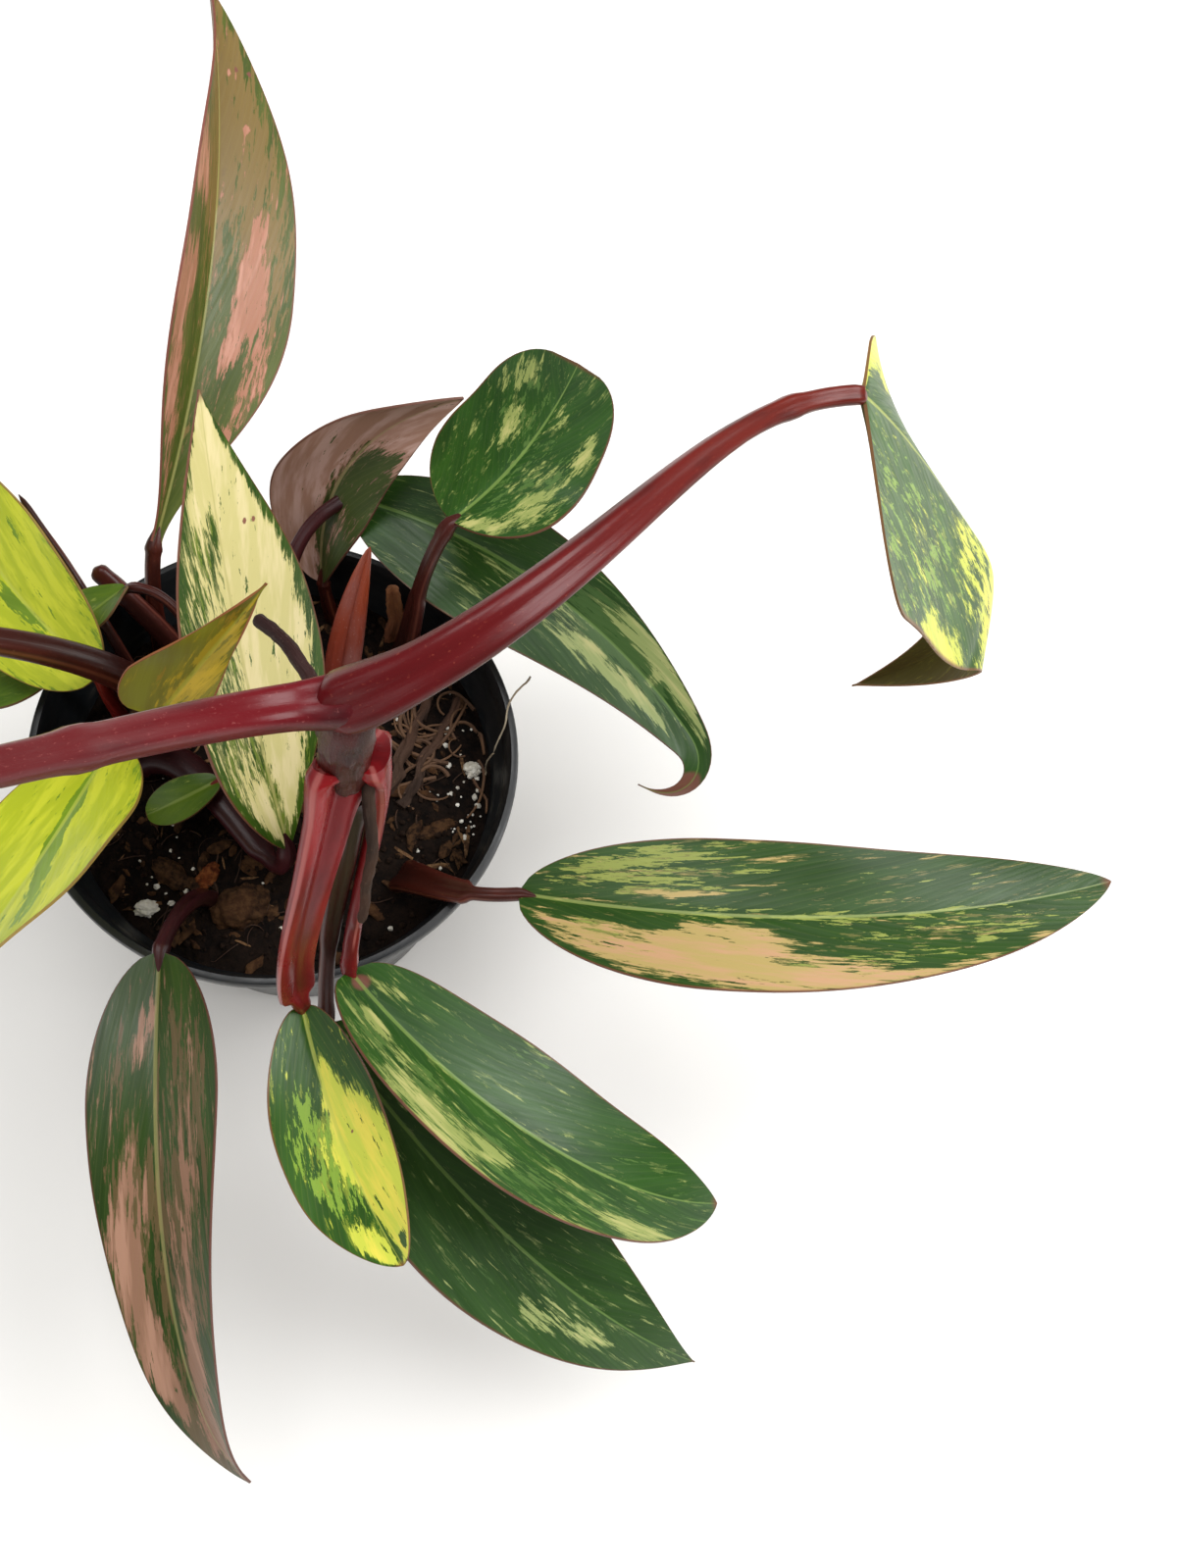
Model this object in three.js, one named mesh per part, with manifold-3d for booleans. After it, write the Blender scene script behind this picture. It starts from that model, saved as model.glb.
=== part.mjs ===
// Potted caramel apple philodendron in a thin black plastic nursery pot.
// Millimetres, +Z up. The origin is the centre of the pot's flat underside, +X to the right of the
// plant's front and +Y to its back.
//
// Every leaf is a petiole (stalk) and a blade. A blade is a thin sheet swept along its midrib: the
// midrib leaves the petiole at a heading and a pitch, then droops, swerves and twists on its way to
// the tip, and the halves on either side of it are folded up or down from it.

import * as THREE from 'three';
import { mergeVertices } from 'three/addons/utils/BufferGeometryUtils.js';
import Module from 'manifold-3d';

const wasm = await Module();
wasm.setup();

// Driving dimensions of the pot and its soil
const POT = {
  height: 96,
  lipRadius: 60,
  lipHeight: 4,
  lipDepth: 1.8,
  shoulderRadius: 57.6,
  shoulderHeight: 10,
  bodyTopRadius: 56.4,
  footRadius: 46,
  footRound: 2,
  wall: 1.2,
  floor: 2,
  holes: 8,
  holeRadius: 4,
  holeCircle: 34,
  sides: 48,
};
const SOIL_TOP = 78;
const SOIL_RINGS = [11, 22, 33, 43, 52];
const SOIL_SIDES = 28;
const SOIL_LUMP = 1.3;

// Clearance kept between pieces that touch, and how deep a stalk stands in its hole in the soil
const GAP = 0.3;
const ROOT_DEPTH = 12;

// Blade sheet: thickness at the margin, extra thickness of the midrib underneath
const BLADE_THICKNESS = 0.8;
const MIDRIB_KEEL = 0.9;
const BASE_HALF_WIDTH = 1.4;
const TURTLE_STEPS = 40;
const FOLD_REACH = 0.6;
const BLADE_ROWS = [0, 1, 2, 4, 7, 10, 13, 17, 21, 25, 29, 33, 36, 38];
const BLADE_COLUMNS = [-1, -0.55, 0, 0.55, 1];

// Petioles: sides of the section and steps along the curve
const PETIOLE_SIDES = 7;
const PETIOLE_STEPS = 8;

const RED = 0x7a2530;
const ROSE = 0x9a3a44;
const BROWN_RED = 0x4f231f;
const BROWN = 0x4a3524;

// What most blades share. Angles are in degrees, lengths in millimetres.
//   heading, pitch, roll  direction of the midrib where the blade starts, and the blade's tilt round it
//   droop, swerve, twist  how far the midrib turns down, sideways and round itself along its length
//   curl, hook            extra droop and swerve of the tip, from the share `curlFrom` of the length
//   fold, foldTip         angle of each half above (or below) the midrib, at the base and further out
//   widest                where the blade is widest, as a share of its length
//   round, shoulder, point   fullness of the base, of the middle and of the tip
//   lean                  how much wider the left half is, lobe: how far the base reaches back
//   wave                  height of the margin's gentle waves
const BLADE = {
  roll: 0, droop: 20, swerve: 0, twist: 0, curl: 0, hook: 0, curlFrom: 0.75, fold: 10,
  widest: 0.4, round: 0.6, shoulder: 1.9, point: 0.95, lean: 0, lobe: 0, wave: 0.6,
};

// The leaves. A petiole runs from its root through two handles to the blade's base. `thick` is its
// radius at the root and at the blade; `sheath` is how wide its clasping lower part spreads.
const LEAVES = [
  { name: 'tall_back', colour: 0x5d6b45, base: [-34, 49, 108], heading: 74, pitch: 28, roll: 46,
    droop: 30, swerve: 2, twist: 27, length: 144, width: 43, fold: 33, widest: 0.46, round: 1.7,
    shoulder: 2.0, point: 0.87,
    petiole: { root: [-36, 34, 78], out: [-36, 37, 89], into: [-36, 41, 100], thick: [2.6, 1.9] } },
  { name: 'cream', colour: 0xb9bb86, base: [4, -25, 94], heading: 110, pitch: 61, roll: 50,
    droop: 9, swerve: -20, twist: -20, length: 110, width: 42, fold: 5, widest: 0.43, round: 0.9,
    shoulder: 1.7, point: 1.15, lean: -0.15,
    petiole: { root: [-36, 0, 80], out: [-21, 8, 90], into: [5, -43, 81], thick: [3.4, 2.2],
      sheath: 1.5, tint: BROWN_RED } },
  { name: 'pink_back', colour: 0xa58a78, base: [6, 50, 93], heading: 97, pitch: 54, roll: -48,
    droop: -4, swerve: -78, twist: 62, length: 74, width: 28, fold: 24, widest: 0.37, round: 0.74,
    shoulder: 1.54, point: 0.85, lean: 0.09,
    petiole: { root: [9, 46, 78], out: [8, 47, 83], into: [7, 48, 88], thick: [2.4, 1.7] } },
  { name: 'arching_back', colour: 0x35532e, base: [14, 62, 116], heading: -15, pitch: 6, roll: 24,
    droop: 8, swerve: -51, twist: -7, curl: 15, hook: -139, curlFrom: 0.78, length: 136, width: 33,
    fold: 10, widest: 0.3, round: 0.63, shoulder: 1.7, point: 1.4, lean: -0.19, wave: 0.9,
    petiole: { root: [0, 34, 78], out: [-4, 37, 92], into: [-5, 52, 115], thick: [2.6, 1.8],
      tint: BROWN_RED } },
  { name: 'round_back', colour: 0x3c5a33, base: [39, 43, 139], heading: 40, pitch: 5, roll: -21,
    droop: -40, swerve: 10, twist: 19, length: 48, width: 43, fold: -3, widest: 0.34, round: 0.69,
    shoulder: 1.8, point: 0.31, lean: 0.1,
    petiole: { root: [27, 33, 78], out: [33, 36, 97], into: [29, 30, 125], thick: [3.2, 1.8],
      tint: BROWN_RED } },
  { name: 'hanging_right', colour: 0x4a6b34, base: [121.9, 48.8, 189.6], heading: 26.2, pitch: -45.1,
    roll: 29, droop: -0.4, swerve: -44.7, twist: -63.2, curl: 132.2, curlFrom: 0.51, hook: 46.4,
    length: 164, width: 59.8, fold: 3.3, foldTip: -42.6, widest: 0.16, round: 0.2, shoulder: 2.71,
    point: 1.14, lean: -0.416, lobe: -5.5,
    petiole: { root: [23, -34, 204], out: [60, -33, 238], into: [86, 45, 187], thick: [4.4, 2.1],
      sheath: 1.1, tint: RED } },
  { name: 'long_right', colour: 0x44603a, base: [60.5, -37, 103], heading: -13, pitch: 19, roll: -6,
    droop: 24, swerve: 31, twist: 11, length: 150, width: 38, fold: 12, widest: 0.31, round: 0.64,
    shoulder: 2.0, point: 0.77, lean: -0.04,
    petiole: { root: [32, -27, 78], out: [36, -30, 90], into: [44, -40, 105], thick: [2.8, 1.7],
      sheath: 1.3, tint: BROWN_RED } },
  { name: 'front_right', colour: 0x3f6a35, base: [22, -59, 112], heading: -50, pitch: 12, roll: -25,
    droop: 36, swerve: 63, twist: 5, length: 115, width: 33, fold: 13, widest: 0.4, round: 0.49,
    shoulder: 2.3, point: 0.81, lean: 0.02,
    petiole: { root: [27, -36, 186], out: [31, -34, 160], into: [22, -48, 134], thick: [3.0, 1.9],
      sheath: 1.2, tint: ROSE } },
  { name: 'front_lower', colour: 0x2f5230, base: [17, -69, 97], heading: -52, pitch: -11, roll: -12,
    droop: 28, swerve: 33, twist: -6, length: 149, width: 42, fold: 13, widest: 0.38, round: 0.6,
    shoulder: 1.77, point: 1.2,
    petiole: { root: [22, -39, 168], out: [21, -46, 144], into: [15, -49, 116], thick: [2.8, 1.8],
      sheath: 1.2, tint: BROWN_RED } },
  { name: 'oval_front', colour: 0x9aa83c, base: [12, -67, 111], heading: -74, pitch: -8, roll: -3,
    droop: 17, swerve: 16, twist: 25, length: 62, width: 26, fold: 22, widest: 0.48, round: 0.65,
    shoulder: 1.95, point: 0.7, lean: -0.06,
    petiole: { root: [21, -39, 184], out: [16, -57, 159], into: [10, -65, 144], thick: [3.6, 1.9],
      sheath: 1.5, tint: ROSE } },
  { name: 'front_left', colour: 0x7c7054, base: [-21, -55, 105], heading: -86, pitch: 2, roll: -3,
    droop: 65, swerve: 5, twist: 31, length: 145, width: 29, fold: 23, widest: 0.22, round: 0.65,
    shoulder: 1.52, point: 0.95, lean: 0.05,
    petiole: { root: [-16, -35, 78], out: [-17, -36, 90], into: [-20, -44, 101], thick: [2.6, 1.8],
      tint: BROWN_RED } },
  { name: 'olive_small', colour: 0x8a6f1e, base: [-18, -16, 150], heading: 42, pitch: 37, roll: 27,
    droop: 9, twist: 9, length: 36, width: 18, fold: 23, widest: 0.2, round: 0.45, shoulder: 1.1,
    point: 1.3, lean: 0.17, lobe: 3,
    petiole: { root: [-30, 5, 86], out: [-29, 0, 108], into: [-26, -16, 138], thick: [1.9, 1.4] } },
  { name: 'spoon', colour: 0x5a6b2e, base: [-15, -8, 92], heading: 212, pitch: -5, roll: 6,
    droop: 33, swerve: -17, twist: -15, length: 21, width: 11, fold: 5, widest: 0.51, round: 0.67,
    point: 0.53, wave: 0,
    petiole: { root: [-11, -4, 78], out: [-10, -4, 84], into: [-11, -6, 91], thick: [1.2, 0.9] } },
  { name: 'lime_left', colour: 0x8da32a, base: [-42, 10, 111], heading: 142, pitch: 3, roll: -31,
    droop: 26, swerve: -21, twist: -10, length: 88, width: 35, fold: 11, round: 0.55,
    petiole: { root: [-37, 6, 82], out: [-41, 8, 92], into: [-42, 9, 103], thick: [2.2, 1.6] } },
  { name: 'small_left', colour: 0x6d8a35, base: [-55, 16, 100], heading: 177, pitch: -5, roll: 8,
    droop: 26, swerve: 14, twist: -13, length: 35, width: 24, fold: 7, round: 0.53, wave: 0.3,
    petiole: { root: [-41, 17, 78], out: [-43, 17, 90], into: [-47, 17, 98], thick: [1.5, 1.1] } },
  { name: 'yellow_left', colour: 0xb2b726, base: [-35, -11, 118], heading: -100, pitch: 26, roll: 11,
    droop: -11, swerve: 4, twist: 31, length: 82, width: 34, fold: 7, widest: 0.42, round: 0.54,
    petiole: { root: [-35, 3, 86], out: [-37, 1, 98], into: [-35, -6, 112], thick: [2.0, 1.5] } },
  { name: 'back_left_small', colour: 0x5f8a3a, base: [-39, 35, 110], heading: 228, pitch: 3, roll: 44,
    droop: 9, swerve: -6, twist: -47, length: 17, width: 13.5, fold: 14, widest: 0.5, round: 0.64,
    point: 0.58, wave: 0,
    petiole: { root: [-20, 22, 78], out: [-21, 22, 90], into: [-23, 34, 114], thick: [2.0, 1.3] } },
  { name: 'high_left', colour: 0x6f8f38, base: [-38, -78, 262], heading: 196, pitch: 12, roll: -8,
    droop: 48, swerve: 14, twist: 12, length: 128, width: 36, fold: 10,
    petiole: { root: [23, -34, 204], out: [-5, -35, 196], into: [-10, -72, 262], thick: [3.8, 2.1],
      sheath: 1.1, tint: ROSE } },
  { name: 'far_left', colour: 0x4f7434, base: [-96, -14, 164], heading: 190, pitch: 8, roll: 6,
    droop: 52, swerve: -12, twist: -10, length: 118, width: 34, fold: 12,
    petiole: { root: [-32, 11, 84], out: [-27, 13, 117], into: [-66, 2, 158], thick: [4.4, 2.2],
      sheath: 1.2, tint: BROWN_RED } },
];

// Upright stems: centre line and the radius at each of its points
const MAIN_STEM = {
  name: 'main_stem', colour: 0x6b5a4a, sides: 12,
  rings: [
    [12, -12, 52, 4.2], [14, -18, 74, 4.6], [15.5, -22, 92, 4.4], [17, -26, 112, 4.5],
    [18, -29, 130, 4.4], [19, -32, 148, 4.5], [20.5, -35, 164, 4.8], [21, -36.5, 173, 5.6],
    [21.5, -37, 178, 5.0], [22, -37, 186, 5.4], [22.5, -36.5, 193, 5.2], [23, -35.5, 200, 5.6],
    [23.5, -34.5, 206, 5.4], [24, -34, 210, 3.4],
  ],
};
const SIDE_SHOOT = {
  name: 'side_shoot', colour: 0x4d2c22, sides: 10,
  rings: [[-31, 7, 56, 4.4], [-32, 7, 74, 5.2], [-32.5, 7, 82, 5.6], [-33, 7, 88, 4.8], [-33, 7, 93, 2.6]],
};

// Young cataphyll, cut stubs, dried sheath and roots: curve handles and the radii at both ends
const SPIKES = [
  { name: 'cataphyll', colour: 0xa8502f, from: [12, 23, 78], handles: [[13, 30, 94], [17, 40, 112]],
    to: [20, 43, 124], thick: [3.6, 0.5], groove: 0.5 },
  { name: 'dry_sheath', colour: 0x9a7448, from: [26, 42, 78], handles: [[26, 44, 86], [26, 46, 92]],
    to: [25, 47, 98], thick: [3.0, 1.6], groove: 0.5 },
  { name: 'stub_thick', colour: 0x5f3527, from: [-29, 30, 78], handles: [[-31, 31, 90], [-40, 36, 102]],
    to: [-48, 41, 107], thick: [3.2, 2.4], groove: 0.2 },
  { name: 'stub_thin', colour: 0x5a2d26, from: [-41, 24, 78], handles: [[-41, 24, 96], [-50, 36, 106]],
    to: [-68, 59, 109], thick: [1.8, 0.8], groove: 0.2 },
  { name: 'aerial_root_back', colour: 0x33211c, from: [19, -31, 191],
    handles: [[15, -24, 195], [11, -17, 191]], to: [5, -13, 190], thick: [1.3, 1.1], groove: 0 },
  { name: 'aerial_root_front', colour: 0x5a4030, from: [26, -39, 181],
    handles: [[27, -48, 174], [27, -52, 162]], to: [25, -57, 150], thick: [1.2, 0.9], groove: 0 },
  { name: 'surface_root_long', colour: 0x7a5230, from: [22, -12, 77], handles: [[30, 0, 81], [32, 18, 80]],
    to: [38, 31, 77], thick: [1.9, 1.3], groove: 0 },
  { name: 'surface_root_short', colour: 0x80562f, from: [30, -8, 77], handles: [[37, 2, 80], [40, 14, 80]],
    to: [45, 26, 77], thick: [1.5, 1.1], groove: 0 },
];

// Larger lumps bedded in the soil: centre, half sizes along their own axes, and turn
const LUMPS = [
  { name: 'bark_round', colour: 0x5d4630, at: [-8, -37, 78], half: [8, 6.5, 4.5], turn: 20 },
  { name: 'bark_left', colour: 0x4a3322, at: [-26, -29, 78], half: [6, 3.2, 2.4], turn: -35 },
  { name: 'bark_orange', colour: 0xa0562c, at: [-17, -29, 78], half: [4, 2.6, 2.4], turn: 60 },
  { name: 'bark_right', colour: 0x54392a, at: [40, -14, 78], half: [6, 2.6, 2.2], turn: 30 },
  { name: 'perlite_right', colour: 0xd9d4c6, at: [49, 4, 78], half: [2.6, 2.2, 1.9], turn: 0 },
  { name: 'perlite_left', colour: 0xdedacd, at: [-31, -38, 78], half: [3.2, 2.4, 2], turn: 15 },
];

const rad = THREE.MathUtils.degToRad;
const vec = (p) => new THREE.Vector3(p[0], p[1], p[2]);

/** A closed indexed geometry from points and triangles. */
function meshOf(points, triangles) {
  const geometry = new THREE.BufferGeometry();
  const flat = points.flatMap((p) => [p.x, p.y, p.z]);
  geometry.setAttribute('position', new THREE.Float32BufferAttribute(flat, 3));
  geometry.setIndex(triangles.flat());
  return geometry;
}

/** The manifold solid of a geometry whose shared vertices are merged. */
function solidOf(geometry) {
  return new wasm.Manifold(new wasm.Mesh({
    numProp: 3,
    vertProperties: new Float32Array(geometry.attributes.position.array),
    triVerts: new Uint32Array(geometry.index.array),
  }));
}

/** The geometry of a manifold solid. */
function geometryOf(solid) {
  const mesh = solid.getMesh();
  const geometry = new THREE.BufferGeometry();
  geometry.setAttribute('position', new THREE.BufferAttribute(new Float32Array(mesh.vertProperties), 3));
  geometry.setIndex(new THREE.BufferAttribute(new Uint32Array(mesh.triVerts), 1));
  return geometry;
}

/** A three.js geometry as a solid: only positions kept, shared vertices merged, thin triangles dropped. */
function closed(geometry) {
  const bare = new THREE.BufferGeometry();
  bare.setAttribute('position', geometry.attributes.position);
  if (geometry.index) bare.setIndex(geometry.index);
  const merged = mergeVertices(bare, 1e-3);
  const kept = [];
  for (let i = 0; i < merged.index.count; i += 3) {
    const [a, b, c] = [0, 1, 2].map((k) => merged.index.getX(i + k));
    if (a !== b && b !== c && a !== c) kept.push(a, b, c);
  }
  merged.setIndex(kept);
  return solidOf(merged);
}

/** Loft through rings of points, closed by a fan at each end. */
function loft(rings) {
  const sides = rings[0].length;
  const points = rings.flat();
  const triangles = [];
  for (let r = 0; r + 1 < rings.length; r += 1) {
    for (let s = 0; s < sides; s += 1) {
      const [a, b] = [r * sides + s, r * sides + ((s + 1) % sides)];
      triangles.push([a, b, b + sides], [a, b + sides, a + sides]);
    }
  }
  for (const [ring, turned] of [[0, true], [rings.length - 1, false]]) {
    const centre = rings[ring].reduce((sum, p) => sum.add(p), new THREE.Vector3()).divideScalar(sides);
    points.push(centre);
    for (let s = 0; s < sides; s += 1) {
      const [a, b] = [ring * sides + s, ring * sides + ((s + 1) % sides)];
      triangles.push(turned ? [points.length - 1, b, a] : [points.length - 1, a, b]);
    }
  }
  return solidOf(meshOf(points, triangles));
}

/** Smooth step from 0 to 1 between `from` and 1, as a rate per unit of length. */
function tipShare(t, from) {
  const x = (t - from) / (1 - from);
  return x > 0 ? (6 * x * (1 - x)) / (1 - from) : 0;
}

/** The midrib's points with its direction, width axis and face axis, at every turtle step. */
function midrib(leaf) {
  const [h, e, r] = [leaf.heading, leaf.pitch, leaf.roll].map(rad);
  const along = new THREE.Vector3(Math.cos(e) * Math.cos(h), Math.cos(e) * Math.sin(h), Math.sin(e));
  const across = new THREE.Vector3(-Math.sin(h), Math.cos(h), 0);
  const face = along.clone().cross(across);
  across.applyAxisAngle(along, r);
  face.applyAxisAngle(along, r);
  const step = 1 / TURTLE_STEPS;
  const at = vec(leaf.base);
  const frames = [{ at: at.clone(), along: along.clone(), across: across.clone(), face: face.clone() }];
  for (let k = 0; k < TURTLE_STEPS; k += 1) {
    const share = tipShare((k + 0.5) * step, leaf.curlFrom);
    const before = along.clone();
    const down = rad(leaf.droop + leaf.curl * share) * step;
    const side = rad(leaf.swerve + leaf.hook * share) * step;
    const turn = rad(leaf.twist) * step;
    along.applyAxisAngle(across, down);
    face.applyAxisAngle(across, down);
    along.applyAxisAngle(face, side);
    across.applyAxisAngle(face, side);
    across.applyAxisAngle(along, turn);
    face.applyAxisAngle(along, turn);
    at.addScaledVector(before.add(along), (leaf.length * step) / 2);
    frames.push({ at: at.clone(), along: along.clone(), across: across.clone(), face: face.clone() });
  }
  return frames;
}

/** Half width of a blade at the share t of its length. */
function halfWidth(leaf, t) {
  const x = (t - leaf.widest) / (1 - leaf.widest);
  const shape = t < leaf.widest
    ? (1 - (1 - t / leaf.widest) ** 2) ** leaf.round
    : Math.max(1 - x ** leaf.shoulder, 0) ** leaf.point;
  const stalk = Math.min(BASE_HALF_WIDTH, leaf.width / 8) * (1 - t) ** 8;
  return (leaf.width / 2) * shape + stalk;
}

/** A point of the blade's upper face at step k and across position s, with s = 1 the left margin. */
function bladePoint(leaf, frames, k, s, grow) {
  const t = k / TURTLE_STEPS;
  const frame = frames[k];
  const half = halfWidth(leaf, t) * (1 + Math.sign(s) * leaf.lean) + grow;
  const fold = rad(leaf.fold + ((leaf.foldTip ?? leaf.fold) - leaf.fold) * Math.min(t / FOLD_REACH, 1));
  const ripple = leaf.wave * Math.sin(14 * t + 2 * s) * Math.sin(Math.PI * t) * s * s;
  const back = ((leaf.lobe * half * 2) / leaf.width) * Math.abs(s) * Math.max(1 - t / 0.35, 0) ** 2;
  return frame.at.clone()
    .addScaledVector(frame.across, s * half * Math.cos(fold))
    .addScaledVector(frame.face, Math.abs(s) ** 1.2 * half * Math.sin(fold) + ripple)
    .addScaledVector(frame.along, -back);
}

/** The blade as a closed sheet; `grow` makes it that much bigger all round. */
function bladeSolid(leaf, grow = 0) {
  const frames = midrib(leaf);
  const grid = BLADE_ROWS.map((k) => BLADE_COLUMNS.map((s) => bladePoint(leaf, frames, k, s, grow)));
  if (grow > 0) {
    grid[0].forEach((p) => p.addScaledVector(frames[0].along, -grow));
  }
  const last = frames[TURTLE_STEPS];
  const tip = last.at.clone().addScaledVector(last.along, grow);
  const wide = BLADE_COLUMNS.length;
  const rows = grid.length;
  const upper = [];
  const lower = [];
  for (let r = 0; r < rows; r += 1) {
    for (let c = 0; c < wide; c += 1) {
      const down = grid[Math.min(r + 1, rows - 1)][c].clone().sub(grid[Math.max(r - 1, 0)][c]);
      const over = grid[r][Math.min(c + 1, wide - 1)].clone().sub(grid[r][Math.max(c - 1, 0)]);
      const out = down.cross(over).normalize();
      const keel = c === (wide - 1) / 2 ? MIDRIB_KEEL * (1 - r / rows) : 0;
      upper.push(grid[r][c].clone().addScaledVector(out, grow));
      lower.push(grid[r][c].clone().addScaledVector(out, -(BLADE_THICKNESS + keel + grow)));
    }
  }
  upper.push(tip.clone().addScaledVector(last.face, grow));
  lower.push(tip.clone().addScaledVector(last.face, -(BLADE_THICKNESS + grow)));
  const triangles = [];
  const below = upper.length;
  const face = (a, b, c) => triangles.push([a, b, c], [c + below, b + below, a + below]);
  for (let r = 0; r + 1 < rows; r += 1) {
    for (let c = 0; c + 1 < wide; c += 1) {
      const a = r * wide + c;
      face(a, a + wide, a + wide + 1);
      face(a, a + wide + 1, a + 1);
    }
  }
  const end = (rows - 1) * wide;
  for (let c = 0; c + 1 < wide; c += 1) face(end + c, rows * wide, end + c + 1);
  const left = Array.from({ length: rows }, (_, r) => r * wide);
  const right = left.map((i) => i + wide - 1);
  const start = BLADE_COLUMNS.slice(1, -1).map((_, c) => c + 1);
  const rim = [...left, rows * wide, ...right.reverse(), ...start.reverse()];
  rim.forEach((a, i) => {
    const b = rim[(i + 1) % rim.length];
    triangles.push([b, a, a + below], [b, a + below, b + below]);
  });
  return solidOf(meshOf([...upper, ...lower], triangles));
}

/** A tapering stalk along a curve, with a groove on the side that `face` looks to at its far end. */
function stalkSolid(curve, face, radiusAt, { sides, steps, groove, grow = 0, root = 0 }) {
  const shares = Array.from({ length: steps + 1 }, (_, i) => i / steps);
  const centres = shares.map((u) => curve.getPoint(u));
  const tangents = shares.map((u) => curve.getTangent(u));
  const up = face.clone();
  const rings = [];
  for (let i = steps; i >= 0; i -= 1) {
    up.addScaledVector(tangents[i], -up.dot(tangents[i])).normalize();
    const side = tangents[i].clone().cross(up);
    rings.unshift(Array.from({ length: sides }, (_, k) => {
      const angle = (2 * Math.PI * k) / sides;
      const radius = radiusAt(shares[i]);
      const dip = 1 - groove * Math.max(Math.cos(angle), 0) ** 4 * (1 - 0.5 * shares[i]);
      return centres[i].clone()
        .addScaledVector(up, Math.cos(angle) * (radius.tall * dip + grow))
        .addScaledVector(side, Math.sin(angle) * (radius.wide + grow));
    }));
  }
  const push = (ring, by) => ring.map((p) => p.clone().add(by));
  if (grow > 0) {
    rings[0] = push(rings[0], tangents[0].clone().multiplyScalar(-grow));
    rings[steps] = push(rings[steps], tangents[steps].clone().multiplyScalar(grow));
  }
  if (root > 0) rings.unshift(push(rings[0], new THREE.Vector3(0, 0, -root)));
  return loft(rings);
}

/** The petiole of a leaf, from its root to just short of the blade. */
function petioleSolid(leaf, grow = 0) {
  const { root, out, into, thick, sheath = 1 } = leaf.petiole;
  const start = midrib(leaf)[0];
  const end = start.at.clone()
    .addScaledVector(start.along, -GAP)
    .addScaledVector(start.face, -BLADE_THICKNESS);
  const curve = new THREE.CubicBezierCurve3(vec(root), vec(out), vec(into), end);
  const radiusAt = (u) => {
    const tall = thick[0] + (thick[1] - thick[0]) * Math.min(u * 1.4, 1);
    const clasp = 1 + (sheath - 1) * Math.max(1 - (u / 0.7) ** 3, 0);
    return { tall, wide: tall * clasp };
  };
  const inSoil = root[2] < SOIL_TOP + 1 ? ROOT_DEPTH : 0;
  return stalkSolid(curve, start.face, radiusAt, {
    sides: PETIOLE_SIDES, steps: PETIOLE_STEPS, groove: 0.35, grow, root: inSoil,
  });
}

/** A cataphyll, stub, dried sheath or root. */
function spikeSolid(spike, grow = 0) {
  const curve = new THREE.CubicBezierCurve3(...[spike.from, ...spike.handles, spike.to].map(vec));
  const radiusAt = (u) => {
    const tall = spike.thick[0] + (spike.thick[1] - spike.thick[0]) * u;
    return { tall, wide: tall };
  };
  return stalkSolid(curve, new THREE.Vector3(0, -1, 1).normalize(), radiusAt, {
    sides: 7, steps: 7, groove: spike.groove, grow, root: spike.from[2] === SOIL_TOP ? ROOT_DEPTH : 0,
  });
}

/** An upright stem through level rings. */
function stemSolid(stem, grow = 0) {
  const reach = stem.rings.length - 1;
  return loft(stem.rings.map(([x, y, z, r], i) => {
    const lift = i === 0 ? -grow : i === reach ? grow : 0;
    return Array.from({ length: stem.sides }, (_, k) => {
      const angle = (2 * Math.PI * k) / stem.sides;
      return new THREE.Vector3(x + (r + grow) * Math.cos(angle), y + (r + grow) * Math.sin(angle), z + lift);
    });
  }));
}

/** Repeatable random numbers from 0 to 1. */
function seeded(seed) {
  let state = seed;
  return () => {
    state = (state * 1664525 + 1013904223) % 4294967296;
    return state / 4294967296;
  };
}

/** A rough lump of bark or perlite. */
function lumpSolid(lump, grow = 0) {
  const random = seeded(Math.round(1000 + lump.at[0] * 7 + lump.at[1]));
  const ball = new THREE.IcosahedronGeometry(1, 1).deleteAttribute('normal').deleteAttribute('uv');
  const shape = mergeVertices(ball, 1e-3);
  const place = shape.attributes.position;
  for (let i = 0; i < place.count; i += 1) {
    const size = 0.82 + 0.3 * random();
    place.setXYZ(i, ...[0, 1, 2].map((k) => place.getComponent(i, k) * (lump.half[k] * size + grow)));
  }
  shape.rotateZ(rad(lump.turn)).translate(...lump.at);
  return solidOf(shape);
}

/** The pot: one lathed shell with a turned-out lip, and drain holes through its foot. */
function potSolid() {
  const { height, lipRadius, lipHeight, lipDepth, shoulderRadius, shoulderHeight, bodyTopRadius } = POT;
  const { footRadius, footRound, wall, floor, holes, holeRadius, holeCircle, sides } = POT;
  const profile = [
    [0, 0], [footRadius - footRound, 0], [footRadius, footRound],
    [bodyTopRadius, height - shoulderHeight - 1], [shoulderRadius, height - shoulderHeight],
    [shoulderRadius + 0.6, height - lipHeight - 0.6], [lipRadius, height - lipHeight],
    [lipRadius, height - 0.6], [lipRadius - 0.6, height], [lipRadius - lipDepth, height],
    [shoulderRadius - wall + 0.4, height - lipHeight], [shoulderRadius - wall, height - shoulderHeight],
    [bodyTopRadius - wall, height - shoulderHeight - 1], [footRadius - wall, floor], [0, floor],
  ].map(([r, z]) => new THREE.Vector2(r, z));
  let pot = closed(new THREE.LatheGeometry(profile, sides).rotateX(Math.PI / 2));
  for (let i = 0; i < holes; i += 1) {
    const angle = (2 * Math.PI * (i + 0.5)) / holes;
    const drill = new THREE.CylinderGeometry(holeRadius, holeRadius, 3 * floor, 10).rotateX(Math.PI / 2);
    drill.translate(holeCircle * Math.cos(angle), holeCircle * Math.sin(angle), floor / 2);
    pot = pot.subtract(closed(drill));
  }
  return pot;
}

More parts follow.
